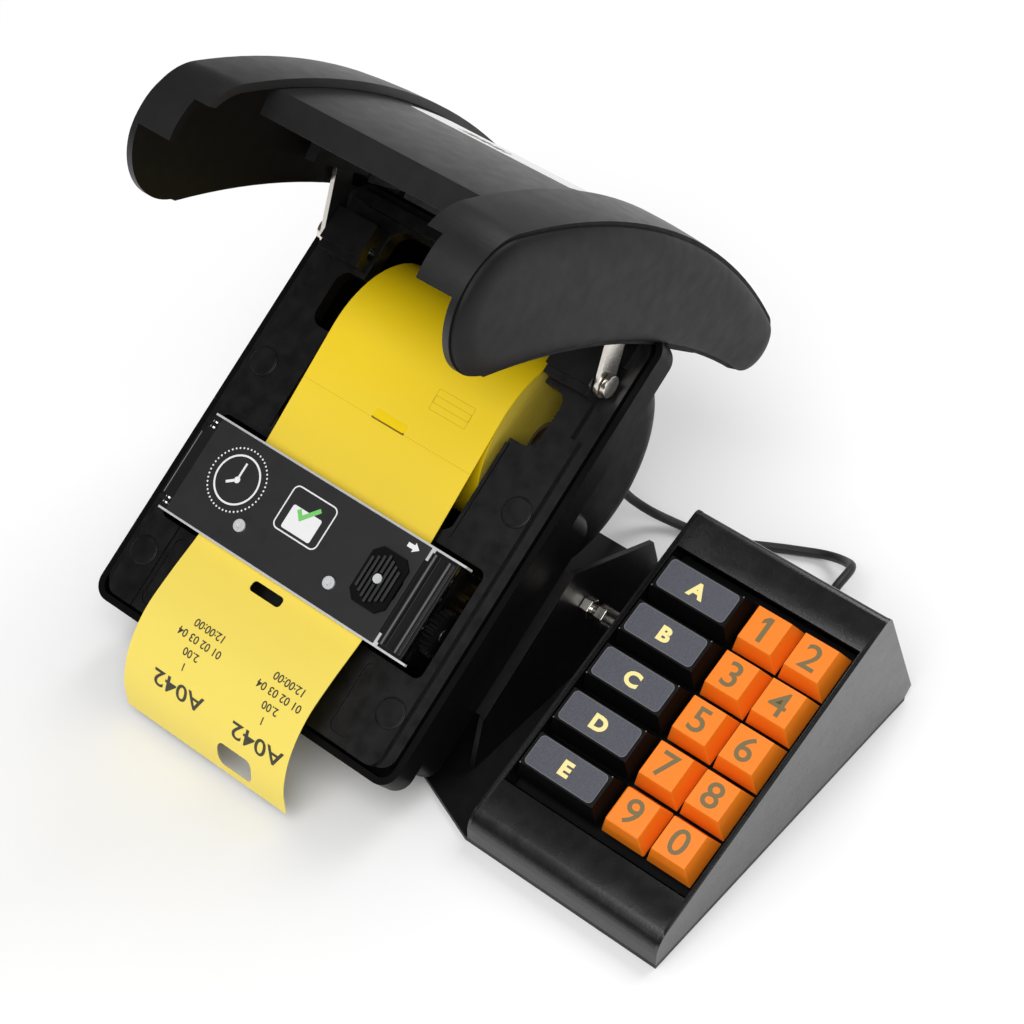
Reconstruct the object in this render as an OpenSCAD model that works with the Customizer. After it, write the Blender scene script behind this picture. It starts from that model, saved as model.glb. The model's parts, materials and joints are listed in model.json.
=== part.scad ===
// Counter ticket printer on a sheet-metal stand, with a wedge keypad at its right side.
// X runs to the right, Y to the back, Z up; the origin is on the base plate's underside,
// below the middle of the printer's deck. The lid is drawn open.

/* [Stand] */
// Thickness of the stand's sheet
sheet = 2; // [1.5:0.25:2.5]
// Rear edge of the base plate behind the origin
base_rear = 108; // [106:1:112]

/* [Printer] */
// Tilt of the deck, front edge down
deck_tilt = 33.6; // [32:0.2:35]
// Height of the deck's middle above the base plate's underside
deck_z = 65.9; // [65:0.1:70]
// Half the width of the deck's top face
deck_half = 63.5; // [63:0.1:65]
// Front edge of the deck, along the deck
deck_front = -58; // [-60:0.5:-57]
// Rear edge of the deck, along the deck
deck_rear = 113; // [112:0.5:116]
// Wall of the moulded shells
wall = 2.5; // [2:0.1:3]
// Height of the hinge pins above the deck
pivot_w = 3; // [2.8:0.1:4]

/* [Paper] */
// Width of the paper
paper_w = 76; // [72:0.5:77]
// Diameter of the paper roll
roll_d = 68; // [50:1:70]
// Diameter of the roll's cardboard core
core_d = 18; // [16:1:22]
// Thickness of the ticket strip
paper_t = 0.3; // [0.2:0.05:0.4]

/* [Lid] */
// Angle the open lid stands up from its closed place
lid_open = 73.5; // [70:0.5:73.5]
// Radius of the lid's upper curve
lid_top_r = 288; // [280:2:310]
// Radius of the hollow under the lid's side
lid_hollow_r = 329; // [320:1:350]
// Width of each wing's band
wing_w = 22; // [20:0.5:23]
// Depth of the middle panel below the wings
panel_drop = 3.3; // [3.2:0.1:5]

/* [Print unit] */
// Diameter of the rubber platen
platen_d = 14; // [13:0.25:14]
// Module of the feed gears
gear_m = 0.8; // [0.75:0.05:0.8]
// Height of the cover's top above the deck
cover_top = 9; // [9:0.1:10]
// Travel of the sliding latch
latch_travel = 3; // [2:0.25:3.5]

/* [Keypad] */
// Width of the keypad's case
keypad_w = 80; // [80:0.5:86]
// Slope of the keys
key_slope = 21.8; // [21.2:0.1:22.4]
// Distance from key to key
key_pitch = 19.05; // [19:0.05:19.2]
// Travel of a key
key_travel = 3.5; // [2.5:0.1:3.6]
// Wall of the keypad's case
case_t = 2; // [1.5:0.1:2]
// Diameter of the link cord
cord_d = 4.5; // [3.5:0.1:5]

/* [Hidden] */
$fn = 48;
eps = 0.05;
gap = 0.3;

// colours
BLACK = "#161617";
SHELL = "#1c1c1d";
RUBBER = "#242424";
STEEL = "#b9bcc0";
ZINC = "#c9ccd0";
PAPER = "#f6d928";
BOARD = "#1f5a38";
ORANGE = "#f5761a";

// printer: u is X, v runs up the deck, w stands on it
rim_half = deck_half + 7;
rim_front = deck_front - 4;
rim_rear = deck_rear + 2;
rim_low = -16;
rim_round = 7;
ledge_half = deck_half + 3.8;
body_half = rim_half - 1.5;
body_front = deck_front + 4;
body_rear = 52;
inlet_v = 12;
inlet_w = -22;
body_low = -33;
roll_r = roll_d / 2;
roll_v = 65;
roll_w = -28.5;
dome_r = 46;
dome_half = deck_half - 3.5;
dome_round = 14;
well_half = paper_w / 2 + 3;
well_front = 21;
well_rear = deck_rear - 9;
plug_u = deck_half - 5.5;
plug_v = 39.4;
plug_d = 11;
pivot_v = 91;
pin_d = 5;
block_in = well_half + 1;
arm_u = deck_half - 2.9;
arm_t = 1.8;
block_out = arm_u - 0.4;
groove_front = pivot_v - 21;

// print unit
mech_half = deck_half - 9.5;
mech_front = -22;
mech_rear = 14;
mech_t = 1.2;
mech_low = -29.5;
open_half = deck_half - 3;
open_front = -25.5;
open_rear = 17;
platen_v = -8.5;
platen_w = -1.5 + (14 - platen_d) / 2;
platen_len = paper_w + 2;
shaft_d = 5;
motor_v = 6;
motor_w = -18.5;
motor_d = 18;
gear_u = mech_half + 1;
gear_t = 3.6;
platen_teeth = 20;
idler_teeth = 24;
pinion_teeth = 12;
cover_front = -23.6;
cover_rear = 15.2;
cover_left = -mech_half;
hinge_u = -mech_half - 3;
hinge_w = 5.5;
hinge_d = 3;
lug_vs = [mech_front + 1.5, mech_rear - 3.5];
lug_t = 1.4;
cover_right = mech_half + 3.5;
cover_t = 1.2;
skin_t = 0.6;
skin_right = mech_half - 11;
bar_left = skin_right + 2;
bar_right = mech_half + 0.4;
latch_u = bar_left - latch_travel - 8.8;
latch_v = -3.9;
latch_w = 15.6;
latch_l = 21;
screw_v = -13.8;
screw_us = [-24, 17.5];

// stand
upright_in = rim_half + 0.5;
upright_out = upright_in + sheet;
flange_in = dome_half + 1.5;
flange_top = body_low - 0.05;
flange_front = -26;
flange_rear = 33;

// lid: p runs back and q up from the hinge pins, in the closed lid's own axes
lobe_front = [-95.4, 22.1];
lobe_front_r = 24;
lobe_rear = [85.3, 25.4];
lobe_rear_r = 12;
band_t = 3;
wing_out = deck_half + 3;
wing_side = wing_out - 2.4;
wing_in = wing_out - wing_w;
cheek_inset = 2.2;
cheek_seat = 1.2;
panel_front = -85.5;
panel_rear = 62;
panel_half = wing_in + 3;
arm_angle = 36 + lid_open;
arm_len = 43;
arm_r = 5;

// keypad
keypad_x = upright_out + 17;
keypad_right = keypad_x + keypad_w;
key_y = 2.3;
key_z = 30;
key_proud = 3.9;
case_front = -32;
case_top_rear = 93.8;
case_foot = 114;
case_back = case_foot + 3.4;
case_back_z = 5.5;
case_low = sheet + eps;
lip = 0.6;
cap = key_pitch - 1.05;
digit_x = keypad_right - case_t - 2.35 - cap / 2 - key_pitch;
letter_left = keypad_x + case_t + 0.5;
letter_w = digit_x - cap / 2 - 1.8 - letter_left;
letter_x = letter_left + letter_w / 2;
row_s = -6.7;
well_s0 = -20.2;
well_s1 = row_s + 4 * key_pitch + 11.8;
plate_top = -13.9;
plate_t = 1.5;
cap_low = plate_top + 0.9 + key_travel;
switch_low = -19;
board_t = 1.6;
stud_d = 4;
nut_h = 3.6;
stud_places = [[52, 35.5]];

// cord route between the two glands, by hand
gland_len = 12;
gland_x = 40;
gland_turn = 50;
keypad_gland_x = 128;
keypad_gland_z = 11;
cord_floor = cord_d / 2 + 0.25;
cord_points = [
    [42, 121, 13], [52, 128, 4], [74, 134, cord_floor], [96, 146, cord_floor],
    [111, 153, 3], [122, 150, 10]
];

function turn2(p, a) = [p[0] * cos(a) - p[1] * sin(a), p[0] * sin(a) + p[1] * cos(a)];
function unit(a) = a / norm(a);
function deck_y(v, w) = v * cos(deck_tilt) - w * sin(deck_tilt);
function deck_h(v, w) = deck_z + v * sin(deck_tilt) + w * cos(deck_tilt);

// Point at distance ra from a and rb from b, on the right of the way from a to b
function meet(a, ra, b, rb) =
    let (d = norm(b - a), t = unit(b - a))
    let (along = (ra * ra - rb * rb + d * d) / (2 * d))
    a + along * t + sqrt(ra * ra - along * along) * [t[1], -t[0]];

// Catmull-Rom curve through a list of points, n steps to a span
function spline(pts, n) =
    let (last = len(pts) - 1)
    [
        for (i = [0 : last - 1], k = [0 : n - 1])
            let (a = pts[max(i - 1, 0)], b = pts[i], c = pts[i + 1], d = pts[min(i + 2, last)], t = k / n)
            b + t / 2 * (c - a + t * (2 * a - 5 * b + 4 * c - d + t * (3 * b - a - 3 * c + d))),
        pts[last]
    ];

// placing

module tilted() {
    translate([0, 0, deck_z]) rotate([deck_tilt, 0, 0]) children();
}

module on_keys() {
    translate([0, key_y, key_z]) rotate([key_slope, 0, 0]) children();
}

module on_lid() {
    tilted() translate([0, pivot_v, pivot_w]) rotate([-lid_open, 0, 0]) children();
}

// Extrudes an outline drawn in Y and Z along X
module along_x(x0, x1) {
    translate([x0, 0, 0]) rotate([90, 0, 90]) linear_extrude(x1 - x0) children();
}

module both_sides() {
    children();
    mirror([1, 0, 0]) children();
}

module box(x0, x1, y0, y1, z0, z1) {
    translate([x0, y0, z0]) cube([x1 - x0, y1 - y0, z1 - z0]);
}

module round_rect(x0, x1, y0, y1, r) {
    translate([x0 + r, y0]) square([x1 - x0 - 2 * r, y1 - y0]);
    translate([x0, y0 + r]) square([x1 - x0, y1 - y0 - 2 * r]);
    for (x = [x0 + r, x1 - r], y = [y0 + r, y1 - r])
        translate([x, y]) circle(r);
}

module round_slab(x0, x1, y0, y1, z0, z1, r) {
    translate([0, 0, z0]) linear_extrude(z1 - z0) round_rect(x0, x1, y0, y1, r);
}

module rod_x(x0, x1, d) {
    translate([x0, 0, 0]) rotate([0, 90, 0]) cylinder(d = d, h = x1 - x0);
}

module screw(head_d, head_h, d, len) {
    difference() {
        cylinder(d = head_d, h = head_h);
        translate([0, 0, head_h * 0.5]) cylinder(d = head_d * 0.45, h = head_h, $fn = 6);
    }
    translate([0, 0, -len]) cylinder(d = d, h = len + eps);
}

// stand

base_outline = [
    [keypad_right, case_front], [keypad_x - 1, case_front], [keypad_x - 29, case_front + 11],
    [keypad_x - 54, case_front + 20], [-upright_out - 4, case_front + 20],
    [-upright_out - 4, base_rear], [keypad_x - 6, base_rear], [keypad_x, case_foot],
    [keypad_right, case_foot]
];

module upright() {
    edge = flange_top - 0.4;
    along_x(upright_in, upright_out)
        polygon([
            [deck_y(flange_front, edge) - 6, sheet / 2],
            [deck_y(flange_front, edge), deck_h(flange_front, edge)],
            [deck_y(flange_rear, edge), deck_h(flange_rear, edge)],
            [base_rear - 16, 34.5], [base_rear - 13, 23], [base_rear - 11, sheet / 2]
        ]);
    tilted()
        difference() {
            box(flange_in, upright_out - 0.4, flange_front + 1, flange_rear - 1, flange_top - sheet, flange_top);
            for (v = [-20, 25])
                translate([body_half - 5, v, flange_top - sheet - 1]) cylinder(d = 3.4, h = sheet + 2);
        }
}

module stand() {
    color(BLACK)
        difference() {
            union() {
                linear_extrude(sheet) polygon(base_outline);
                both_sides() upright();
            }
            for (p = stud_places)
                translate([upright_in - 1, p[0], p[1]]) rod_x(0, sheet + 2, stud_d + 0.1);
            for (p = keypad_screw_places)
                translate([p[0], p[1], -1]) cylinder(d = 3.4, h = sheet + 2);
            for (p = keypad_screw_places)
                translate([p[0], p[1], -eps]) cylinder(d = 7, h = 1.2 + eps);
        }
}

module stand_screws() {
    color(ZINC)
        tilted()
            both_sides()
                for (v = [-20, 25])
                    translate([body_half - 5, v, flange_top - sheet]) rotate([180, 0, 0]) screw(6, 2.2, 3, 9);
}

// printer body

module dome(grow) {
    r = dome_r + grow;
    half = dome_half + grow;
    c = dome_round + grow;
    translate([0, roll_v, roll_w])
        rotate([0, 90, 0])
            rotate_extrude($fn = 96)
                intersection() {
                    union() {
                        translate([0, -half + c]) square([r, 2 * half - 2 * c]);
                        translate([0, -half]) square([r - c, 2 * half]);
                        for (s = [-1, 1]) translate([r - c, s * (half - c)]) circle(c);
                    }
                    translate([0, -half]) square([r, 2 * half]);
                }
}

// Cradle rib under the roll, square to gravity
module cradle_rib(u) {
    along_x(u - 1.5, u + 1.5)
        translate([roll_v, roll_w])
            rotate(-90 - deck_tilt)
                intersection() {
                    difference() {
                        circle(dome_r - wall + 0.2);
                        circle(roll_r + 0.08);
                    }
                    polygon([[0, 0], [70, -42], [70, 42]]);
                }
}

module lower_shell() {
    color(SHELL)
        tilted()
            difference() {
                union() {
                    difference() {
                        union() {
                            round_slab(-rim_half, rim_half, rim_front, rim_rear, rim_low, -4.5, rim_round);
                            round_slab(-body_half, body_half, body_front, body_rear, body_low, rim_low + 1, rim_round);
                            intersection() {
                                dome(0);
                                box(-80, 80, -20, 130, -100, rim_low + 2);
                            }
                        }
                        round_slab(wall - rim_half, rim_half - wall, rim_front + wall, rim_rear - wall,
                            rim_low + wall, 0, rim_round - wall);
                        round_slab(wall - body_half, body_half - wall, body_front + wall, body_rear - wall,
                            body_low + wall, 0, rim_round - wall);
                        intersection() {
                            dome(-wall);
                            box(-80, 80, -20, 130, -100, 0);
                        }
                    }
                    for (u = [-plug_u, plug_u], v = [-plug_v, plug_v])
                        translate([u, v, body_low + 1]) cylinder(d = 9, h = -6 - body_low - 1);
                    both_sides() {
                        for (v = [mech_front + 5, mech_rear - 5])
                            translate([mech_half - 8, v, body_low + 1]) cylinder(d = 7, h = mech_low - body_low - 1);
                        for (v = [-20, 25])
                            translate([body_half - 5, v, body_low + 1]) cylinder(d = 7, h = 11);
                        cradle_rib(26);
                    }
                    for (u = [-44, 44], v = [body_front + 6, body_front + 22])
                        translate([u, v, body_low + 1]) cylinder(d = 5, h = 6);
                }
                for (u = [-plug_u, plug_u], v = [-plug_v, plug_v])
                    translate([u, v, -20]) cylinder(d = 3, h = 20);
                both_sides()
                    for (v = [-20, 25])
                        translate([body_half - 5, v, body_low - 1]) cylinder(d = 3, h = 9);
                translate([-body_half - 1, inlet_v, inlet_w]) rod_x(0, 6, 9);
                rotate([-deck_tilt, 0, 0])
                    translate([gland_x, deck_y(roll_v, roll_w), deck_h(roll_v, roll_w) - deck_z])
                        rotate([-90 - gland_turn, 0, 0])
                            cylinder(d = 8, h = dome_r + 5);
            }
}

module deck_frame() {
    color(BLACK)
        tilted()
            difference() {
                union() {
                    round_slab(-deck_half, deck_half, deck_front, deck_rear, -3.2, 0, 4.5);
                    round_slab(-ledge_half, ledge_half, deck_front + 1, deck_rear - 0.5, -6, -3.2 + eps, rim_round - 1);
                    both_sides() {
                        box(block_in, block_out, pivot_v - 7, pivot_v + 9, -1, pivot_w + 4.5);
                        box(block_in, block_out, pivot_v - 4, pivot_v + 9, -1, pivot_w + 6.5);
                        box(well_half, well_half + 1.2, well_front, 58, -1, 1.2);
                    }
                    box(-block_out, block_out, well_rear + 1.5, deck_rear - 3, -1, 5);
                }
                round_slab(-well_half, well_half, well_front, well_rear, -7, 20, 6);
                both_sides()
                    round_slab(well_half - 12, well_half + 10, 60, 82, -7, 2, 5);
                round_slab(-open_half, open_half, open_front, open_rear, -7, 2, 3);
                box(-well_half - 10, well_half + 10, deck_front - 1, open_front + 4, -1.2, 2);
                both_sides()
                    round_slab(paper_w / 2 + 2, well_half + 8.5, deck_front + 3, open_front - 3, -2, 0, 3);
                for (u = [-plug_u, plug_u], v = [-plug_v, plug_v])
                    translate([u, v, 0]) {
                        translate([0, 0, -1.6]) cylinder(d = plug_d + 0.2, h = 5);
                        translate([0, 0, -4]) cylinder(d = 7, h = 5);
                        translate([0, 0, -8]) cylinder(d = 3.4, h = 10);
                    }
                both_sides() {
                    box(block_out, ledge_half, groove_front, pivot_v + 8, -3.2, 1);
                    translate([0, pivot_v, pivot_w]) rod_x(block_in - 1, block_out + 1, pin_d);
                }
            }
}

module deck_plugs() {
    color(BLACK)
        tilted()
            for (u = [-plug_u, plug_u], v = [-plug_v, plug_v])
                translate([u, v, -1.6]) {
                    cylinder(d = plug_d, h = 1.8);
                    translate([0, 0, 1.75]) cylinder(d = plug_d - 1, h = 0.4);
                }
}

module shell_screws() {
    color(ZINC)
        tilted()
            for (u = [-plug_u, plug_u], v = [-plug_v, plug_v])
                translate([u, v, -4]) screw(6, 2.2, 3, 13);
}

module lid_pins() {
    color(ZINC)
        tilted()
            both_sides()
                translate([0, pivot_v, pivot_w]) {
                    rod_x(block_in + 2, arm_u + arm_t + 0.25, pin_d);
                    rod_x(arm_u + arm_t + 0.2, arm_u + arm_t + 2.2, 8.4);
                }
}

module control_board() {
    color(BOARD)
        tilted() {
            box(-49, 49, body_front + 4, body_front + 25, body_low + 7, body_low + 8.6);
            box(-30, -12, body_front + 7, body_front + 20, body_low + 8.5, body_low + 11);
            box(4, 14, body_front + 9, body_front + 19, body_low + 8.5, body_low + 10.5);
            box(26, 40, body_front + 6, body_front + 14, body_low + 8.5, body_low + 14);
        }
}

module power_inlet() {
    color("#202022")
        tilted()
            translate([-body_half - 0.6, inlet_v, inlet_w]) {
                difference() {
                    union() {
                        rod_x(0, 13, 8.9);
                        rod_x(0, 0.6, 12);
                    }
                    rod_x(-1, 9.5, 6.2);
                }
                rod_x(1, 10, 2);
            }
}

// lid

lid_top_c = meet(lobe_front, lid_top_r - lobe_front_r, lobe_rear, lid_top_r - lobe_rear_r);
lid_hollow_c = meet(lobe_front, lid_hollow_r + lobe_front_r, lobe_rear, lid_hollow_r + lobe_rear_r);

// Side outline of the lid, drawn d inside its edge
module bean(d) {
    translate(lobe_front) circle(lobe_front_r - d, $fn = 96);
    translate(lobe_rear) circle(lobe_rear_r - d, $fn = 96);
    intersection() {
        difference() {
            translate(lid_top_c) circle(lid_top_r - d, $fn = 360);
            translate(lid_hollow_c) circle(lid_hollow_r + d, $fn = 360);
        }
        polygon([
            lobe_front, lobe_front + 60 * unit(lobe_front - lid_top_c),
            lobe_rear + 60 * unit(lobe_rear - lid_top_c), lobe_rear,
            lobe_rear + 60 * unit(lid_hollow_c - lobe_rear),
            lobe_front + 60 * unit(lid_hollow_c - lobe_front)
        ]);
    }
}

// Strip of the lid's upper curve between depths d0 and d1 and between p0 and p1
module top_strip(d0, d1, p0, p1) {
    intersection() {
        translate(lid_top_c)
            difference() {
                circle(lid_top_r - d0, $fn = 360);
                circle(lid_top_r - d1, $fn = 360);
            }
        translate([p0, -20]) square([p1 - p0, 100]);
    }
}

module wing() {
    difference() {
        union() {
            difference() {
                along_x(wing_in, wing_out) bean(0);
                along_x(wing_in - 1, wing_side) bean(band_t);
                along_x(wing_in - 1, wing_side)
                    polygon([
                        lobe_front + [-40, -60], lobe_front + [-40, -2],
                        lobe_rear + [40, 2], lobe_rear + [40, -60]
                    ]);
                along_x(wing_in - 1, wing_in + 6) translate(lobe_front - [40, 20]) square([34, 33]);
            }
            along_x(arm_u - 4.2, arm_u - eps)
                intersection() {
                    bean(band_t - 0.5);
                    translate([-34, 24]) square([34, 60]);
                }
            along_x(arm_u - 4.2, arm_u - 1.7)
                intersection() {
                    translate(lid_top_c) circle(lid_top_r - band_t + 0.5, $fn = 360);
                    polygon([[5, 21.6], [27, 21.6], [27, 16.5], [60, 16.5], [60, 70], [5, 70]]);
                }
        }
        along_x(wing_out - cheek_seat, wing_out + 1) bean(cheek_inset - 0.25);
        along_x(wing_side - 1, wing_out + 1)
            polygon([[8, 8], [12.4, 21.7], [14.8, 21.7], [28, 17.8], [28, 8]]);
        for (t = arm_holes) translate([0, t[0], t[1]]) rod_x(arm_u - 5, arm_u + 1, 2.6);
    }
}

// Cheek crowned in steps: [depth inside the edge, height over the wing]
module cheek() {
    for (step = [[0, 1.2], [0.8, 2.2], [2.2, 3], [4.6, 3.6]])
        along_x(wing_out - cheek_seat + eps, wing_out + step[1]) bean(cheek_inset + step[0]);
}

module lid_panel() {
    color(SHELL)
        on_lid() {
            along_x(-panel_half, panel_half) top_strip(panel_drop, panel_drop + 2.5, panel_front, panel_rear);
            along_x(-panel_half, panel_half)
                intersection() {
                    translate([panel_front, 36.5]) square([2.5, 40]);
                    translate(lid_top_c) circle(lid_top_r - panel_drop - 0.5, $fn = 360);
                }
            along_x(-panel_half, panel_half)
                intersection() {
                    translate([panel_rear - 2.5, 30]) square([2.5, 40]);
                    translate(lid_top_c) circle(lid_top_r - panel_drop - 0.5, $fn = 360);
                }
            both_sides()
                along_x(wing_in + 0.5, panel_half)
                    top_strip(band_t + eps, panel_drop + 0.5, panel_front + 6, panel_rear - 6);
        }
}

module lid_wing_left() {
    color(SHELL) on_lid() mirror([1, 0, 0]) wing();
}

module lid_wing_right() {
    color(SHELL) on_lid() wing();
}

module lid_cheek_left() {
    color(BLACK) on_lid() mirror([1, 0, 0]) cheek();
}

module lid_cheek_right() {
    color(BLACK) on_lid() cheek();
}

arm_holes = [for (t = [32, 40]) turn2([t, 0], arm_angle)];

module lid_arms() {
    color(STEEL)
        on_lid()
            both_sides()
                difference() {
                    along_x(arm_u, arm_u + arm_t) {
                        circle(arm_r);
                        rotate(arm_angle) translate([0, -arm_r]) square([arm_len, 2 * arm_r]);
                        translate(turn2([arm_len, 0], arm_angle)) circle(arm_r);
                    }
                    rod_x(arm_u - 1, arm_u + 3, pin_d + 0.1);
                    for (t = arm_holes) translate([0, t[0], t[1]]) rod_x(arm_u - 1, arm_u + 3, 2.7);
                }
}

module lid_screws() {
    color(ZINC)
        on_lid()
            both_sides()
                for (t = arm_holes)
                    translate([arm_u + arm_t, t[0], t[1]]) rotate([0, 90, 0]) screw(4.6, 1.3, 2.6, arm_t + 3.4);
}

// paper

module paper_roll() {
    color(PAPER)
        tilted()
            translate([0, roll_v, roll_w])
                difference() {
                    rod_x(-paper_w / 2, paper_w / 2, roll_d, $fn = 96);
                    rod_x(-paper_w, paper_w, core_d);
                }
}

module roll_core() {
    color("#a98a63")
        tilted()
            translate([0, roll_v, roll_w])
                difference() {
                    rod_x(-paper_w / 2, paper_w / 2, core_d);
                    rod_x(-paper_w, paper_w, core_d - 4);
                }
}

// The strip's middle line leaves the roll at a tangent, runs under the head and curls down in front
strip_r = roll_r + gap + paper_t / 2;
strip_in = [open_rear - 1, 2.2];
strip_tangent = let (d = [roll_v, roll_w] - strip_in)
    atan2(-d[1], -d[0]) - acos(strip_r / norm(d));
strip_free = [
    strip_in, [2, 4.4], [platen_v, 5.95], [cover_front, 6.8], [-41, 9.4], [-56, 10.2],
    [-70, 5.8], [-81, -3], [-88, -14]
];
strip_line = concat(
    [for (i = [0 : 24]) [roll_v, roll_w] + turn2([strip_r, 0], -20 + (strip_tangent + 20) * i / 24)],
    spline(strip_free, 5)
);

function strip_side(line, d) = [
    for (i = [0 : len(line) - 1])
        let (a = line[max(i - 1, 0)], b = line[min(i + 1, len(line) - 1)], t = unit(b - a))
        line[i] + d * [t[1], -t[0]]
];

function reversed(list) = [for (i = [len(list) - 1 : -1 : 0]) list[i]];

module ticket_strip() {
    color(PAPER)
        tilted()
            difference() {
                along_x(-paper_w / 2, paper_w / 2)
                    polygon(concat(strip_side(strip_line, paper_t / 2), reversed(strip_side(strip_line, -paper_t / 2))));
                round_slab(-9, 5, -30.5, -26.5, 2, 14, 1.5);
                round_slab(7, 23, -86, -79.5, -20, 4, 2.5);
            }
}

// print unit

gear_axis_platen = [platen_v, platen_w];
gear_axis_motor = [motor_v, motor_w];
gear_axis_idler = meet(
    gear_axis_platen, gear_m * (platen_teeth + idler_teeth) / 2,
    gear_axis_motor, gear_m * (idler_teeth + pinion_teeth) / 2
);

function heading(a, b) = atan2(b[1] - a[1], b[0] - a[0]);

// Turn of each gear that puts a tooth of one in a gap of the next
platen_turn = heading(gear_axis_platen, gear_axis_idler);
idler_turn = platen_turn + 180 + 180 / idler_teeth;
pinion_turn = let (a = heading(gear_axis_idler, gear_axis_motor))
    a + 180 + (a - idler_turn) * idler_teeth / pinion_teeth + 180 / pinion_teeth;

module gear_outline(teeth) {
    root = gear_m * (teeth / 2 - 1.15);
    tip = gear_m * (teeth / 2 + 0.8);
    step = 360 / teeth;
    polygon([
        for (i = [0 : teeth - 1], k = [[root, -0.31], [tip, -0.1], [tip, 0.1], [root, 0.31]])
            turn2([k[0], 0], (i + k[1]) * step)
    ]);
}

module gear(axis, teeth, turn) {
    along_x(gear_u, gear_u + gear_t) translate(axis) rotate(turn) gear_outline(teeth);
}

module mech_frame() {
    color(STEEL)
        tilted()
            difference() {
                union() {
                    box(-mech_half, mech_half, mech_front, mech_rear, mech_low, mech_low + mech_t);
                    both_sides()
                        box(mech_half - mech_t, mech_half, mech_front, mech_rear, mech_low, 2.5);
                    for (v = lug_vs)
                        box(hinge_u - 2.8, -mech_half + eps, v, v + lug_t, -4, hinge_w + 2);
                    translate([0, gear_axis_idler[0], gear_axis_idler[1]])
                        rod_x(mech_half - eps, gear_u + gear_t + 0.4, 3);
                }
                translate([0, platen_v, platen_w]) rod_x(-mech_half - 1, mech_half + 1, shaft_d + 0.1);
                translate([mech_half - 3, motor_v, motor_w]) rod_x(0, 6, 2.6);
                translate([hinge_u, mech_front - 5, hinge_w]) rotate([-90, 0, 0]) cylinder(d = hinge_d, h = 60);
            }
}

module cover_channel() {
    color(ZINC)
        tilted()
            difference() {
                union() {
                    box(hinge_u, mech_half + 1, cover_front, cover_rear, cover_top - cover_t, cover_top);
                    box(cover_left - 1, cover_right, cover_front, cover_front + 1, cover_top - 1.6, cover_top);
                    box(cover_left - 1, cover_right, cover_rear - 1, cover_rear, 3.6, cover_top);
                    translate([hinge_u, mech_front + 4, hinge_w]) rotate([-90, 0, 0]) cylinder(d = 5.4, h = 25);
                    box(hinge_u - 2.7, hinge_u, mech_front + 4, mech_front + 29, hinge_w, cover_top - 1.5);
                    translate([hinge_u, mech_front + 4, cover_top - 2.7]) rotate([-90, 0, 0]) cylinder(d = 5.4, h = 25);
                }
                translate([hinge_u, mech_front - 5, hinge_w])
                    rotate([-90, 0, 0]) cylinder(d = hinge_d + 0.1, h = 60);
                for (v = lug_vs)
                    box(hinge_u - 1, hinge_u + 4, v - 0.6, v + lug_t + 0.6, hinge_w, 20);
                box(latch_u - 5, latch_u + 5 + latch_travel, latch_v - 3.3, latch_v + 3.3, 0, 20);
                for (u = screw_us) translate([u, screw_v, 0]) cylinder(d = 2.6, h = 20);
            }
}

module cover_skin() {
    color(BLACK)
        tilted()
            difference() {
                round_slab(cover_left + 0.6, skin_right, cover_front + 0.8, cover_rear - 0.8,
                    cover_top, cover_top + skin_t, 1);
                box(latch_u - 5, latch_u + 5 + latch_travel, latch_v - 3.3, latch_v + 3.3, 0, 20);
                for (u = screw_us) translate([u, screw_v, 0]) cylinder(d = 2.8, h = 20);
            }
}

module cover_hinge_pin() {
    color(ZINC)
        tilted()
            translate([hinge_u, mech_front - 0.5, hinge_w])
                rotate([-90, 0, 0]) cylinder(d = hinge_d, h = mech_rear - mech_front);
}

module cover_screws() {
    color(ZINC)
        tilted()
            for (u = screw_us)
                translate([u, screw_v, cover_top + skin_t]) screw(4.6, 1.2, 2.5, 2.8);
}

module print_head() {
    color("#8d9196")
        tilted()
            difference() {
                union() {
                    box(-paper_w / 2 - 2, paper_w / 2 - 14, platen_v - 7.5, platen_v + 6, cover_top - 2.4, cover_top - cover_t);
                    box(-paper_w / 2 - 2, paper_w / 2 + 2, platen_v - 7.5, platen_v + 0.8, cover_top - 2.4, cover_top - cover_t);
                }
                for (u = screw_us) translate([u, screw_v, 0]) cylinder(d = 2.5, h = 20);
            }
}

// Black folded catch at the cover's free end
module latch_bar() {
    color("#0e0e0f")
        tilted()
            difference() {
                union() {
                    box(bar_left, bar_right, cover_front + 2, cover_rear - 2, cover_top, cover_top + 1.2);
                    for (u = [bar_left + 1.6, bar_right - 1.8])
                        translate([u, cover_front + 2, cover_top + 1.2])
                            rotate([-90, 0, 0]) cylinder(d = 3.2, h = cover_rear - cover_front - 4);
                }
                box(bar_left - 1, bar_right + 1, cover_front, cover_rear, 0, cover_top);
            }
}

module latch_button() {
    top = cover_top + skin_t + 0.1;
    color("#101011")
        tilted()
            difference() {
                union() {
                    translate([latch_u, latch_v, top])
                        linear_extrude(1.2)
                            polygon([
                                for (c = [[1, -1], [1, 1], [-1, 1], [-1, -1]], k = [0, 1])
                                    let (first = (c[0] * c[1] > 0) == (k == 1))
                                    [c[0] * (latch_w / 2 - (first ? 3 : 0)), c[1] * (latch_l / 2 - (first ? 0 : 3))]
                            ]);
                    for (i = [-3 : 3])
                        translate([latch_u + i * 1.9, latch_v, top + 1.1])
                            box(-0.5, 0.5, abs(i) * 1.1 - 9, 9 - abs(i) * 1.1, 0, 1.2);
                    box(latch_u - 4, latch_u + 4, latch_v - 2.8, latch_v + 2.8, cover_top - 1.4, top + 0.5);
                }
                translate([latch_u, latch_v, top + 0.6]) cylinder(d = 4.4, h = 5);
            }
}

module platen_roller() {
    color(RUBBER)
        tilted()
            translate([0, platen_v, platen_w])
                difference() {
                    rod_x(-platen_len / 2, platen_len / 2, platen_d);
                    rod_x(-platen_len, platen_len, shaft_d);
                }
}

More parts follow.
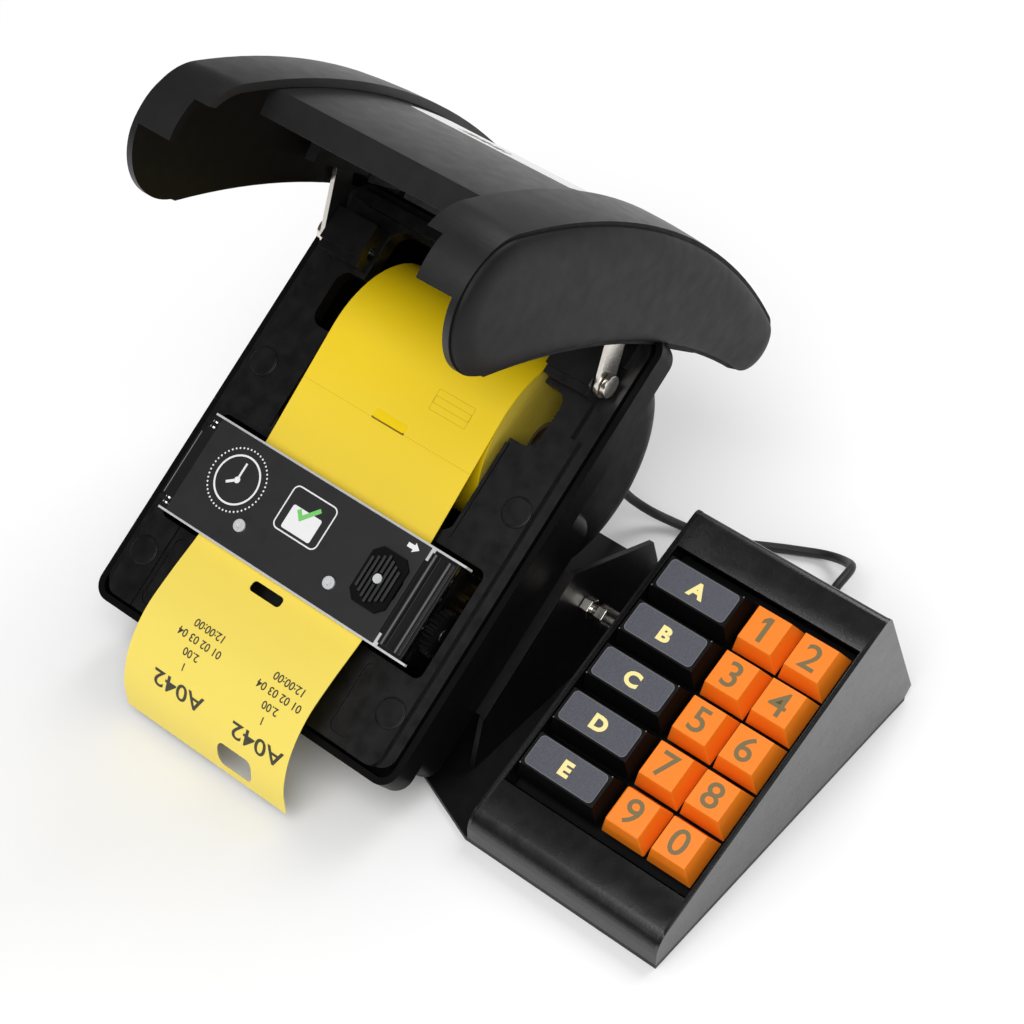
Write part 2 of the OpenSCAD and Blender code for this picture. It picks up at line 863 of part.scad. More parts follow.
module platen_shaft() {
    color(STEEL)
        tilted() translate([0, platen_v, platen_w]) rod_x(-mech_half - 1.5, gear_u + gear_t + 0.4, shaft_d);
}

module platen_gear() {
    color("#e8e6df")
        tilted()
            difference() {
                gear(gear_axis_platen, platen_teeth, platen_turn);
                translate([0, platen_v, platen_w]) rod_x(gear_u - 1, gear_u + 9, shaft_d + 0.04);
            }
}

module idler_gear() {
    color("#e8e6df")
        tilted()
            difference() {
                gear(gear_axis_idler, idler_teeth, idler_turn);
                translate([0, gear_axis_idler[0], gear_axis_idler[1]]) rod_x(gear_u - 1, gear_u + 9, 3.1);
            }
}

module motor() {
    color("#77797d")
        tilted()
            translate([0, motor_v, motor_w])
                difference() {
                    union() {
                        rod_x(mech_half - mech_t - 26, mech_half - mech_t, motor_d);
                        rod_x(mech_half - mech_t - 28, mech_half - mech_t - 25, 6);
                    }
                    rod_x(mech_half - 9, mech_half, 2.1);
                }
}

module motor_pinion() {
    color("#c9a34e")
        tilted() {
            gear(gear_axis_motor, pinion_teeth, pinion_turn);
            translate([0, motor_v, motor_w]) rod_x(mech_half - 8, gear_u + 1, 2);
        }
}

// keypad

case_plane_y = key_y + key_proud * sin(key_slope);
case_plane_z = key_z - key_proud * cos(key_slope);
function case_z(y) = case_plane_z + (y - case_plane_y) * tan(key_slope);
back_angle = atan2(case_z(case_top_rear) - case_back_z, case_back - case_top_rear);

// Side outline of the case, drawn d inside its walls; up is how far the top stands proud
module case_outline(d, up) {
    top = -d / cos(key_slope) + up;
    back = -d / sin(back_angle);
    rear_y = case_top_rear + back + d * 0.35;
    polygon([
        [case_front + d, case_low - (d > 0 ? 1 : 0)],
        [case_front + d, case_z(case_front) + top - 2],
        [case_front + d + 0.6, case_z(case_front) + top - 0.7],
        [case_front + d + 1.8, case_z(case_front + 1.8) + top],
        [rear_y, case_z(rear_y) + top],
        [case_back + back, case_back_z],
        [case_foot + back, case_low - (d > 0 ? 1 : 0)]
    ]);
}

module keypad_case() {
    color(BLACK)
        difference() {
            union() {
                difference() {
                    along_x(keypad_x, keypad_right) case_outline(0, 0);
                    along_x(keypad_x + case_t, keypad_right - case_t) case_outline(case_t, 0);
                    on_keys() box(keypad_x + case_t, keypad_right - case_t, well_s0, well_s1, -12, 5);
                }
                along_x(keypad_x, keypad_x + case_t * 0.6) case_outline(0, lip);
                along_x(keypad_right - case_t * 0.6, keypad_right) case_outline(0, lip);
                on_keys()
                    for (x = [keypad_x + case_t - 0.5, keypad_right - case_t - 2.5])
                        box(x, x + 3, well_s0 + 2, well_s1 + 2, plate_top - plate_t - 2, plate_top - plate_t);
            }
            translate([keypad_gland_x, keypad_gland_y, keypad_gland_z])
                rotate([-back_angle, 0, 0]) translate([0, 0, -4]) cylinder(d = 8, h = 8);
        }
}

keypad_screw_places = [
    for (x = [keypad_x + 10, keypad_right - 10], y = [case_front + 22, case_foot - 14]) [x, y]
];

module keypad_base() {
    color("#2a2a2c")
        difference() {
            union() {
                box(keypad_x + case_t + gap, keypad_right - case_t - gap, case_front + case_t + gap, case_foot - case_t - 2,
                    case_low, case_low + 1.5);
                for (p = keypad_screw_places) translate([p[0], p[1], case_low]) cylinder(d = 7, h = 5);
            }
            for (p = keypad_screw_places) translate([p[0], p[1], case_low - 1]) cylinder(d = 3, h = 9);
        }
}

module keypad_screws() {
    color(ZINC)
        for (p = keypad_screw_places)
            translate([p[0], p[1], 1.2]) rotate([180, 0, 0]) screw(6, 1.1, 3, 4.6);
}

module each_key() {
    for (row = [0 : 4]) {
        translate([letter_x, row_s + row * key_pitch, 0]) children();
        for (col = [0, 1])
            translate([digit_x + col * key_pitch, row_s + row * key_pitch, 0]) children();
    }
}

module key_plate() {
    color("#2d2d30")
        on_keys()
            difference() {
                box(keypad_x + case_t + 0.1, keypad_right - case_t - 0.1, well_s0 + 2, well_s1 + 1,
                    plate_top - plate_t, plate_top);
                each_key() box(-7, 7, -7, 7, plate_top - 5, plate_top + 5);
            }
}

module key_switches() {
    color("#39393c")
        on_keys()
            each_key()
                difference() {
                    union() {
                        box(-6.9, 6.9, -6.9, 6.9, switch_low, plate_top + 0.1);
                        box(-7.6, 7.6, -7.6, 7.6, plate_top, plate_top + 0.6);
                        box(-5.5, 5.5, -5.5, 5.5, plate_top, plate_top + 3);
                    }
                    translate([0, 0, switch_low + 0.5]) cylinder(d = 5.2, h = 20);
                }
}

module keypad_board() {
    color(BOARD)
        on_keys()
            box(keypad_x + case_t + 3.4, keypad_right - case_t - 3.4, row_s - 7.5, row_s + 4 * key_pitch + 9,
                switch_low - board_t, switch_low);
}

// Cap with sloped sides: base half sizes a, top half sizes b, top drawn back by s
module cap_block(a, b, s, low, high) {
    lower = [for (c = [[-1, -1], [1, -1], [1, 1], [-1, 1]]) [c[0] * a[0], c[1] * a[1], low]];
    upper = [for (c = [[-1, -1], [1, -1], [1, 1], [-1, 1]]) [c[0] * b[0], c[1] * b[1] + s, high]];
    polyhedron(
        concat(lower, upper),
        [[0, 1, 2, 3], [4, 7, 6, 5], [0, 4, 5, 1], [1, 5, 6, 2], [2, 6, 7, 3], [3, 7, 4, 0]]
    );
}

module key_cap(a, b, s) {
    difference() {
        cap_block(a, b, s, cap_low, 0);
        cap_block(a - [1.2, 1.2], b - [1.2, 1.2], s, cap_low - 0.4, -2.2);
    }
    translate([0, 0, cap_low - 5]) cylinder(d = 5, h = 3 - cap_low);
}

module letter_key(row) {
    color(BLACK)
        on_keys()
            translate([letter_x, row_s + row * key_pitch, 0])
                difference() {
                    key_cap([letter_w / 2, cap / 2], [letter_w / 2 - 1.7, cap / 2 - 2.7], 0.2);
                    round_slab(3.4 - letter_w / 2, letter_w / 2 - 3.4, 4.2 - cap / 2, cap / 2 - 3.8, -0.4, 1, 1.5);
                }
}

module digit_key(col, row) {
    color(ORANGE)
        on_keys()
            translate([digit_x + col * key_pitch, row_s + row * key_pitch, 0])
                key_cap([cap / 2, cap / 2], [6.7, 6.6], 0.3);
}

module keypad_studs() {
    color(ZINC)
        for (p = stud_places)
            translate([0, p[0], p[1]]) {
                rod_x(upright_in - 6, keypad_x - 6, stud_d);
                rod_x(keypad_x - 7, keypad_x, 8);
            }
}

module keypad_nuts() {
    color(ZINC)
        for (p = stud_places, x = [upright_in - nut_h - 0.1, upright_out + 0.1, keypad_x - 7.1 - nut_h])
            translate([x, p[0], p[1]])
                difference() {
                    rod_x(0, nut_h, 8.1, $fn = 6);
                    rod_x(-1, 6, stud_d);
                }
}

// glands and cord

keypad_gland_y = case_back - (keypad_gland_z - case_back_z) / tan(back_angle);

module gland() {
    difference() {
        union() {
            translate([0, 0, -4]) cylinder(d = 7.8, h = 4.5);
            translate([0, 0, 0.05]) cylinder(d = 12, h = 2);
            translate([0, 0, 2]) cylinder(d1 = 9, d2 = 7.2, h = gland_len - 2);
        }
        for (z = [3.5, 6, 8.5])
            translate([0, 0, z])
                difference() {
                    cylinder(d = 14, h = 0.9);
                    cylinder(d = 6.8, h = 0.9);
                }
    }
}

module cord_glands() {
    color(RUBBER) {
        translate([gland_x, deck_y(roll_v, roll_w), deck_h(roll_v, roll_w)])
            rotate([-90 - gland_turn, 0, 0])
                translate([0, 0, dome_r]) gland();
        translate([keypad_gland_x, keypad_gland_y, keypad_gland_z])
            rotate([-back_angle, 0, 0]) gland();
    }
}

printer_out = [0, cos(gland_turn), -sin(gland_turn)];
keypad_out = [0, sin(back_angle), cos(back_angle)];
cord_start = [gland_x, deck_y(roll_v, roll_w), deck_h(roll_v, roll_w)] + (dome_r + gland_len) * printer_out;
cord_end = [keypad_gland_x, keypad_gland_y, keypad_gland_z] + gland_len * keypad_out;
cord_line = spline(
    concat([cord_start, cord_start + 9 * printer_out], cord_points, [cord_end + 12 * keypad_out, cord_end]), 5
);

function ring(line, i, sides) =
    let (last = len(line) - 1)
    let (t = i == 0 ? printer_out : i == last ? -keypad_out : unit(line[i + 1] - line[i - 1]))
    let (a = unit(cross(t, [0, 0, 1])), b = cross(a, t))
    [for (k = [0 : sides - 1]) line[i] + cord_d / 2 * (cos(360 * k / sides) * a + sin(360 * k / sides) * b)];

module link_cord() {
    sides = 10;
    rings = len(cord_line);
    color(RUBBER)
        polyhedron(
            [for (i = [0 : rings - 1]) each ring(cord_line, i, sides)],
            concat(
                [[for (k = [0 : sides - 1]) k]],
                [
                    for (i = [0 : rings - 2], k = [0 : sides - 1])
                        [i * sides + k, (i + 1) * sides + k, (i + 1) * sides + (k + 1) % sides, i * sides + (k + 1) % sides]
                ],
                [[for (k = [sides - 1 : -1 : 0]) (rings - 1) * sides + k]]
            )
        );
}

module letter_key_a() { letter_key(4); }
module letter_key_b() { letter_key(3); }
module letter_key_c() { letter_key(2); }
module letter_key_d() { letter_key(1); }
module letter_key_e() { letter_key(0); }
module digit_key_1() { digit_key(0, 4); }
module digit_key_2() { digit_key(1, 4); }
module digit_key_3() { digit_key(0, 3); }
module digit_key_4() { digit_key(1, 3); }
module digit_key_5() { digit_key(0, 2); }
module digit_key_6() { digit_key(1, 2); }
module digit_key_7() { digit_key(0, 1); }
module digit_key_8() { digit_key(1, 1); }
module digit_key_9() { digit_key(0, 0); }
module digit_key_0() { digit_key(1, 0); }

stand();
stand_screws();
lower_shell();
deck_frame();
deck_plugs();
shell_screws();
lid_pins();
lid_panel();
lid_wing_left();
lid_wing_right();
lid_cheek_left();
lid_cheek_right();
lid_arms();
lid_screws();
paper_roll();
roll_core();
ticket_strip();
mech_frame();
cover_channel();
cover_skin();
cover_hinge_pin();
cover_screws();
latch_bar();
latch_button();
print_head();
platen_roller();
platen_shaft();
platen_gear();
idler_gear();
motor();
motor_pinion();
control_board();
power_inlet();
keypad_case();
keypad_base();
key_plate();
key_switches();
keypad_board();
keypad_screws();
keypad_studs();
keypad_nuts();
cord_glands();
link_cord();
letter_key_a();
letter_key_b();
letter_key_c();
letter_key_d();
letter_key_e();
digit_key_1();
digit_key_2();
digit_key_3();
digit_key_4();
digit_key_5();
digit_key_6();
digit_key_7();
digit_key_8();
digit_key_9();
digit_key_0();
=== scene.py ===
"""Finishes a counter ticket printer: shells, lid, paper, print cover, keypad and a pale studio floor."""

import json
from math import acos, atan2, cos, degrees, pi, radians, sin, sqrt, tan

import bmesh
import bpy
from bpy.props import FloatProperty, FloatVectorProperty, IntProperty, PointerProperty, StringProperty
from bpy.types import Operator, Panel, PropertyGroup
from mathutils import Matrix, Vector


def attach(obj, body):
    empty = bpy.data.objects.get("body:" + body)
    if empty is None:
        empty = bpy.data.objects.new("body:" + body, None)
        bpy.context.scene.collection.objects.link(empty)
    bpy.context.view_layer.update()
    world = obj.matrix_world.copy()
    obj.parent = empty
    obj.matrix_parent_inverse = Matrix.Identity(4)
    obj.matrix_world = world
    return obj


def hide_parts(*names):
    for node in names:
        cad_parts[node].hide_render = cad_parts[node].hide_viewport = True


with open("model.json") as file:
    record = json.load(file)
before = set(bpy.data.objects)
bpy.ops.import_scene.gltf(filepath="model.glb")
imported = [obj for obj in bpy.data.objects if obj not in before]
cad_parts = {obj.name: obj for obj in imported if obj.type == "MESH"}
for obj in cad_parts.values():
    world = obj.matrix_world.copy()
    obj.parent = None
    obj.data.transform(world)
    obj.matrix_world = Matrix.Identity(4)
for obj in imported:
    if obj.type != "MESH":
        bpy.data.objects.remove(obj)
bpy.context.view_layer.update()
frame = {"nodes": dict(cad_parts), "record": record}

bl_info = {
    "name": "Counter Ticket Printer",
    "version": (1, 0, 0),
    "blender": (4, 5, 0),
    "location": "View3D > Sidebar > Ticket Printer",
    "description": "Builds the finishes and small forms of a counter ticket printer round its solids",
    "category": "Object",
}

MM = 0.001


# Frames of the tilted groups, in mm


def local_frame(origin, tilt_deg):
    """Matrix from millimetres in a frame turned about X to metres in the part's frame."""
    turn = Matrix.Rotation(radians(tilt_deg), 4, "X")
    return Matrix.Translation(Vector(origin) * MM) @ turn @ Matrix.Scale(MM, 4)


DECK_TILT, LID_OPEN = 33.6, 73.5
DECK_Z, PIVOT_V, PIVOT_W = 65.9, 91, 3
DECK = local_frame((0, 0, DECK_Z), DECK_TILT)
PIVOT = DECK @ Vector((0, PIVOT_V, PIVOT_W))
LID = local_frame(PIVOT / MM, DECK_TILT - LID_OPEN)
KEY_AT, KEY_SLOPE = (0, 2.3, 30), 21.8
KEYS = local_frame(KEY_AT, KEY_SLOPE)
ROLL_V, ROLL_W, ROLL_R = 65.0, -28.5, 34.0
ROLL_AXIS = DECK @ Vector((0, ROLL_V, ROLL_W))


# Materials

COAT_ROUGH = 0.12
RING_MM, RING_SHADE = 0.5, 0.8
# Where the ticket's painted sheen starts and where it is full, in object Y
SHEEN_FROM_Y, SHEEN_TO_Y = 0.045, -0.055

# Colour (a property's name, or fixed), roughness, and what differs from a plain finish
FINISHES = {
    # Moulded plastics
    "shell_plastic": ("shell", 0.42, dict(grain=0.55, bump=0.14, rough_spread=0.03)),
    "body_plastic": ("deck", 0.42, dict(grain=0.6, bump=0.08, specular=0.07)),
    "deck_plastic": ("deck", 0.36, dict(grain=0.7, bump=0.07, rough_spread=0.08, specular=0.4)),
    "inner_plastic": ("deck", 0.55, dict(bump=0.08, specular=0.12)),
    "cheek_plastic": ("cheek", 0.5, dict(rough_spread=0.04, specular=0.18)),
    # Coats and metals
    "powder_coat": ("powder", 0.27, dict(grain=0.8, bump=0.08, rough_spread=0.03, specular=1.0)),
    "stand_coat": ("powder", 0.4, dict(grain=0.8, specular=0.3)),
    "bare_steel": ("bare", 0.42, dict(grain=0.3, bump=0.08, mottle=0.15, metal=0.35, patch=1.5)),
    "zinc_plate": ("zinc", 0.24, dict(grain=0.6, bump=0.05, mottle=0.2, rough_spread=0.1, metal=1.0,
                                      patch=3.0)),
    "nickel_plate": ("nickel", 0.22, dict(grain=0.4, bump=0.05, mottle=0.06, metal=1.0, stretch=(1, 1, 9),
                                          patch=4.0)),
    "chrome_plate": ("nickel", 0.16, dict(bump=0.03, mottle=0.05, rough_spread=0.03, metal=1.0)),
    # Painted shade: the platen shaft's steel is darkened to take away its bright end
    "shaft_steel": ((0.16, 0.16, 0.165), 0.4, dict(grain=0.4, bump=0.04, metal=1.0)),
    "head_alloy": ((0.5, 0.51, 0.53), 0.35, dict(grain=0.4, bump=0.05, metal=1.0)),
    # Painted shade: the pinion's brass is darkened where it sits inside the deck's opening
    "pinion_brass": ((0.22, 0.15, 0.05), 0.45, dict(grain=0.4, bump=0.04, metal=1.0)),
    # Inner pieces
    "gear_acetal": ((0.004, 0.004, 0.0042), 0.5, dict(bump=0.04, specular=0.1)),
    "board_mask": ((0.012, 0.09, 0.04), 0.35, dict(grain=1.2, bump=0.05, mottle=0.2)),
    "black_rubber": ("rubber", 0.55, {}),
    # Print cover
    "printed_foil": ("foil", 0.5, dict(grain=0.4, bump=0.05, mottle=0.06, rough_spread=0.06)),
    "gloss_black": ("gloss", 0.2, dict(grain=2.0, bump=0.03, rough_spread=0.03, coat=0.1, specular=0.3)),
    "latch_plastic": ((0.003, 0.003, 0.0032), 0.4, dict(specular=0.15)),
    # Painted highlight on the tops of the latch's grip ribs
    "worn_rib": ((0.03, 0.03, 0.031), 0.35, dict(grain=0.4, bump=0.06, mottle=0.3)),
    # Keypad
    "dark_plate": ((0.003, 0.003, 0.0032), 0.5, dict(grain=0.6, bump=0.06, specular=0.12)),
    "switch_body": ((0.012, 0.012, 0.013), 0.4, dict(bump=0.05)),
    "orange_cap": ("orange", 0.4, dict(grain=0.35, bump=0.06, mottle=0.03)),
    "black_cap": ("cap", 0.36, dict(grain=0.35, bump=0.06, specular=0.25)),
    "key_inlay": ("inlay", 0.55, dict(grain=0.6, bump=0.8, mottle=0.3, patch=0.7)),
    # Painted glints round the letter keys' inlays
    "cap_pip": ((0.17, 0.17, 0.18), 0.3, dict(grain=0.3, bump=0.02)),
    # Inks
    "letter_ink": ("letter", 0.5, dict(grain=0.3, bump=0.02, mottle=0.02)),
    "digit_ink": ("digit", 0.5, dict(grain=0.3, bump=0.02, mottle=0.03)),
    "white_ink": ("ink", 0.5, dict(grain=0.3, bump=0.02, mottle=0.03)),
    "green_ink": ((0.2, 0.62, 0.16), 0.5, dict(grain=0.3, bump=0.02, mottle=0.04)),
    "dark_print": ((0.05, 0.045, 0.03), 0.6, dict(grain=0.3, bump=0.02, mottle=0.25, patch=1.5)),
    # Papers
    "label_paper": ((0.86, 0.86, 0.85), 0.5, dict(bump=0.05, mottle=0.03)),
    "card_core": ((0.36, 0.24, 0.12), 0.8, dict(grain=0.4, bump=0.12)),
    "yellow_paper": ("paper", 0.62, dict(bump=0.06, mottle=0.025, specular=0.2)),
    "ticket_paper": ("paper", 0.55, dict(bump=0.05, mottle=0.02)),
    # Paler than the roll's face: partly the paper's own cream edge, partly painted light
    "wound_paper": ((0.98, 0.74, 0.07), 0.8, dict(grain=0.3, bump=0.05)),
    "paper_crease": ((0.62, 0.43, 0.001), 0.7, dict(grain=0.3, bump=0.05)),
    # Painted shadow along the tear flap's slot
    "paper_shade": ((0.2, 0.12, 0.002), 0.8, {}),
}


def sizes():
    return bpy.context.scene.ticket_printer_sizes


def colours():
    return bpy.context.scene.ticket_printer_colours


def link(tree, a, out, b, into):
    tree.links.new(a.outputs[out], b.inputs[into])


def fill(node, **values):
    """Sets a node's sockets by name."""
    for name, value in values.items():
        node.inputs[name.replace("_", " ")].default_value = value
    return node


def add_node(tree, kind, **values):
    return fill(tree.nodes.new(kind), **values)


def mapped(tree, **values):
    """Object coordinates, moved or scaled."""
    mapping = add_node(tree, "ShaderNodeMapping", **values)
    link(tree, tree.nodes.new("ShaderNodeTexCoord"), "Object", mapping, "Vector")
    return mapping


def noise(tree, coords, grain_mm, detail=3.0):
    node = add_node(tree, "ShaderNodeTexNoise", Scale=1 / (grain_mm * MM), Detail=detail)
    link(tree, coords, "Vector", node, "Vector")
    return node


def spread(tree, source, low, high):
    """Maps the middle of a noise to low..high."""
    node = add_node(tree, "ShaderNodeMapRange", From_Min=0.3, From_Max=0.7, To_Min=low, To_Max=high)
    link(tree, source, "Fac", node, "Value")
    return node


def tinted(tree, source, out, low, high):
    """Makes the base colour go from low to high with a node's output."""
    tone = tree.nodes.new("ShaderNodeMix")
    tone.data_type = "RGBA"
    tone.inputs["A"].default_value = [*low, 1]
    tone.inputs["B"].default_value = [*high, 1]
    link(tree, source, out, tone, "Factor")
    link(tree, tone, "Result", tree.nodes["Principled BSDF"], "Base Color")


def finish(name, color, rough, grain=0.5, bump=0.1, mottle=0.08, rough_spread=0.05, metal=0.0, coat=0.0,
           specular=0.5, stretch=(1, 1, 1), patch=14.0):
    """Material with a slow tone change, a changing gloss and a fine surface grain, all in object space."""
    made = bpy.data.materials.new(name)
    made.use_nodes = True
    tree = made.node_tree
    shader = tree.nodes["Principled BSDF"]
    fill(shader, Metallic=metal, Specular_IOR_Level=specular, Coat_Weight=coat, Coat_Roughness=COAT_ROUGH)
    coords = mapped(tree, Scale=stretch)
    tinted(tree, noise(tree, coords, patch), "Fac", [c * (1 - mottle) for c in color],
           [min(1, c * (1 + mottle)) for c in color])
    gloss = spread(tree, noise(tree, coords, patch * 0.4), max(0.02, rough - rough_spread),
                   rough + rough_spread)
    link(tree, gloss, "Result", shader, "Roughness")
    relief = add_node(tree, "ShaderNodeBump", Strength=bump, Distance=grain * MM * 0.4)
    link(tree, noise(tree, coords, grain, 2.0), "Fac", relief, "Height")
    link(tree, relief, "Normal", shader, "Normal")
    return made


def paint(name):
    """Material of that name, made from the table of finishes when it is first asked for."""
    color, rough, extras = FINISHES[name]
    if isinstance(color, str):
        color = getattr(colours(), color)
    return bpy.data.materials.get(name) or finish(name, color, rough, **extras)


def wound_paper():
    """Paper seen on the roll's ends: fine rings about the roll's axis, on a paler colour that is partly the
    paper's own cream edge and partly painted light.
    """
    made = paint("wound_paper")
    tree = made.node_tree
    across = mapped(tree, Location=(0, -ROLL_AXIS.y, -ROLL_AXIS.z), Scale=(0, 1, 1))
    reach = tree.nodes.new("ShaderNodeVectorMath")
    reach.operation = "LENGTH"
    link(tree, across, "Vector", reach, 0)
    rings = add_node(tree, "ShaderNodeTexNoise", Scale=1 / (RING_MM * MM), Detail=4.0)
    rings.noise_dimensions = "1D"
    link(tree, reach, "Value", rings, "W")
    color = FINISHES["wound_paper"][0]
    tinted(tree, spread(tree, rings, 0, 1), "Result", [c * RING_SHADE for c in color], color)
    return made


def ticket_paper():
    """Ticket paper with a painted sheen: it pales from the roll to its free end."""
    made = paint("ticket_paper")
    tree = made.node_tree
    split = tree.nodes.new("ShaderNodeSeparateXYZ")
    link(tree, tree.nodes.new("ShaderNodeTexCoord"), "Object", split, "Vector")
    along = add_node(tree, "ShaderNodeMapRange", From_Min=SHEEN_FROM_Y, From_Max=SHEEN_TO_Y, To_Min=0.0,
                     To_Max=1.0)
    link(tree, split, "Y", along, "Value")
    tinted(tree, along, "Result", colours().paper, colours().pale_paper)
    return made


# Pieces


def placed(name, data):
    """New object in the scene."""
    made = bpy.data.objects.new(name, data)
    bpy.context.scene.collection.objects.link(made)
    return made


def baked(holder):
    """Plain mesh of an object as evaluated; the object goes."""
    depsgraph = bpy.context.evaluated_depsgraph_get()
    mesh = bpy.data.meshes.new_from_object(holder.evaluated_get(depsgraph))
    bpy.data.objects.remove(holder)
    return mesh


def take(bm, mesh):
    """Adds a mesh to a bmesh and drops it."""
    bm.from_mesh(mesh)
    bpy.data.meshes.remove(mesh)


def to_mesh(bm, name="form"):
    """Mesh of a bmesh, without normals that an earlier form left on it."""
    mesh = bpy.data.meshes.new(name)
    bm.to_mesh(mesh)
    bm.free()
    if "custom_normal" in mesh.attributes:
        mesh.attributes.remove(mesh.attributes["custom_normal"])
    return mesh


def piece(name, mesh, place, material, body, replaces=(), angle=38):
    """Puts a finished mesh in the part's frame, on a body."""
    mesh.name = name
    mesh.transform(place)
    mesh.materials.clear()
    mesh.materials.append(material)
    for face in mesh.polygons:
        face.use_smooth = True
    mesh.set_sharp_from_angle(angle=radians(angle))
    made = placed(name, mesh)
    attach(made, body)
    if replaces:
        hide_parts(*replaces)
    return made


def body_of(node):
    return next(body for body, nodes in frame["record"]["behaviour"]["bodies"].items() if node in nodes)


def merged(node):
    """Copy of a CAD node's mesh with its triangles joined into flat faces."""
    bm = bmesh.new()
    bm.from_mesh(frame["nodes"][node].data)
    bmesh.ops.remove_doubles(bm, verts=bm.verts, dist=2e-6)
    bmesh.ops.dissolve_limit(bm, angle_limit=radians(0.5), verts=bm.verts, edges=bm.edges)
    return bm


def cut(bm, place, way, near):
    """Cuts the faces along a plane; points nearer to it than near count as on it."""
    bmesh.ops.bisect_plane(bm, geom=bm.verts[:] + bm.edges[:] + bm.faces[:], plane_co=place, plane_no=way,
                           dist=near)


def round_edges(bm, width, segments=2, angle=32):
    """Rounds the edges that turn by more than angle."""
    sharp = [e for e in bm.edges if len(e.link_faces) == 2 and e.calc_face_angle(0) > radians(angle)]
    bmesh.ops.bevel(bm, geom=sharp, offset=width * MM, offset_type="OFFSET", segments=segments, profile=0.5,
                    affect="EDGES", clamp_overlap=True)


def formed(node, bm, material):
    """Piece in a CAD node's place and on its body, with even normals."""
    made = piece(node + "_form", to_mesh(bm), Matrix(), material, body_of(node), [node])
    made.modifiers.new("even_normals", "WEIGHTED_NORMAL").keep_sharp = True
    return made


def rounded(node, material, width, segments=2):
    """Piece with a CAD node's form and softened edges."""
    bm = merged(node)
    if width:
        round_edges(bm, width, segments)
    return formed(node, bm, material)


def dress(*rows):
    """Rounded pieces, given as node, finish, rounding in mm and, if not two, the rounding's segments."""
    for node, name, *edge in rows:
        rounded(node, paint(name), *edge)


def paint_faces(made, material, test):
    """Gives a second material to the faces that pass a test."""
    made.data.materials.append(material)
    for face in made.data.polygons:
        face.material_index = 1 if test(face) else 0


# Flat forms


def skin(bm, low, high):
    """Faces between two closed loops of as many points."""
    for corners in zip(low, low[1:] + low[:1], high[1:] + high[:1], high):
        bm.faces.new(corners)


def prism(outline, low, high, bm=None):
    """Closed flat plate over an outline, from low to high."""
    bm = bm or bmesh.new()
    bottom, top = ([bm.verts.new((x, y, z)) for x, y in outline] for z in (low, high))
    bm.faces.new(top)
    bm.faces.new(bottom[::-1])
    skin(bm, bottom, top)
    return bm


def band(outer, inner, low, high, bm=None):
    """Closed flat ring between two outlines of as many points."""
    bm = bm or bmesh.new()
    loops = [[bm.verts.new((x, y, z)) for x, y in line] for z in (low, high) for line in (outer, inner)]
    low_out, low_in, top_out, top_in = loops
    for a, b in ((top_out, top_in), (low_in, low_out), (low_out, top_out), (top_in, low_in)):
        skin(bm, a, b)
    return bm


def spiral(centre, first, last, start, end, steps):
    """Arc whose radius goes evenly from first to last, with its angles in degrees."""
    line = []
    for i in range(steps + 1):
        radius, angle = first + (last - first) * i / steps, radians(start + (end - start) * i / steps)
        line.append((centre[0] + radius * cos(angle), centre[1] + radius * sin(angle)))
    return line


def arc(centre, radius, start, end, steps):
    return spiral(centre, radius, radius, start, end, steps)


def circle(centre, radius, steps):
    return arc(centre, radius, 0, 360, steps)[:-1]


def rect(x0, x1, y0, y1):
    return [(x0, y0), (x1, y0), (x1, y1), (x0, y1)]


def round_rect(x0, x1, y0, y1, radius, steps=5):
    line = []
    for x, y, start in ((x1, y0, -90), (x1, y1, 0), (x0, y1, 90), (x0, y0, 180)):
        cx = x - radius if x == x1 else x + radius
        cy = y - radius if y == y1 else y + radius
        line += arc((cx, cy), radius, start, start + 90, steps)
    return line


def turned(outline, angle_deg, at):
    c, s = cos(radians(angle_deg)), sin(radians(angle_deg))
    return [(at[0] + x * c - y * s, at[1] + x * s + y * c) for x, y in outline]


def arrow(length, width, head, barb):
    """Outline of a plain arrow along +X, centred on the origin."""
    neck = length / 2 - head
    return [(-length / 2, -width / 2), (neck, -width / 2), (neck, -barb / 2), (length / 2, 0),
            (neck, barb / 2), (neck, width / 2), (-length / 2, width / 2)]


SIZE_OF_CAPITAL = 1.37


def middle(points):
    """Middle of the points' extent in x and y."""
    return [(min(p[i] for p in points) + max(p[i] for p in points)) / 2 for i in (0, 1)]


def lettering(text, height, bold=0.0, depth=0.06, wide=1.0):
    """Plain sign as a mesh in millimetres, centred on the origin, standing on z 0."""
    curve = bpy.data.curves.new("sign", "FONT")
    curve.body = text
    curve.size = height * SIZE_OF_CAPITAL
    curve.offset = bold
    curve.extrude = depth / 2
    curve.resolution_u = 4
    bm = bmesh.new()
    take(bm, baked(placed("sign", curve)))
    bpy.data.curves.remove(curve)
    bmesh.ops.remove_doubles(bm, verts=bm.verts, dist=1e-5)
    x, y = middle([v.co for v in bm.verts])
    for v in bm.verts:
        v.co.x -= x
        v.co.x *= wide
        v.co.y -= y
        v.co.z += depth / 2
    return bm


def split_long(bm, limit=2.0):
    """Cuts edges so that none is longer than limit."""
    for _ in range(6):
        long = [e for e in bm.edges if e.calc_length() > limit]
        if not long:
            break
        bmesh.ops.subdivide_edges(bm, edges=long, cuts=1)
        bmesh.ops.triangulate(bm, faces=[f for f in bm.faces if len(f.verts) > 3])
    return bm


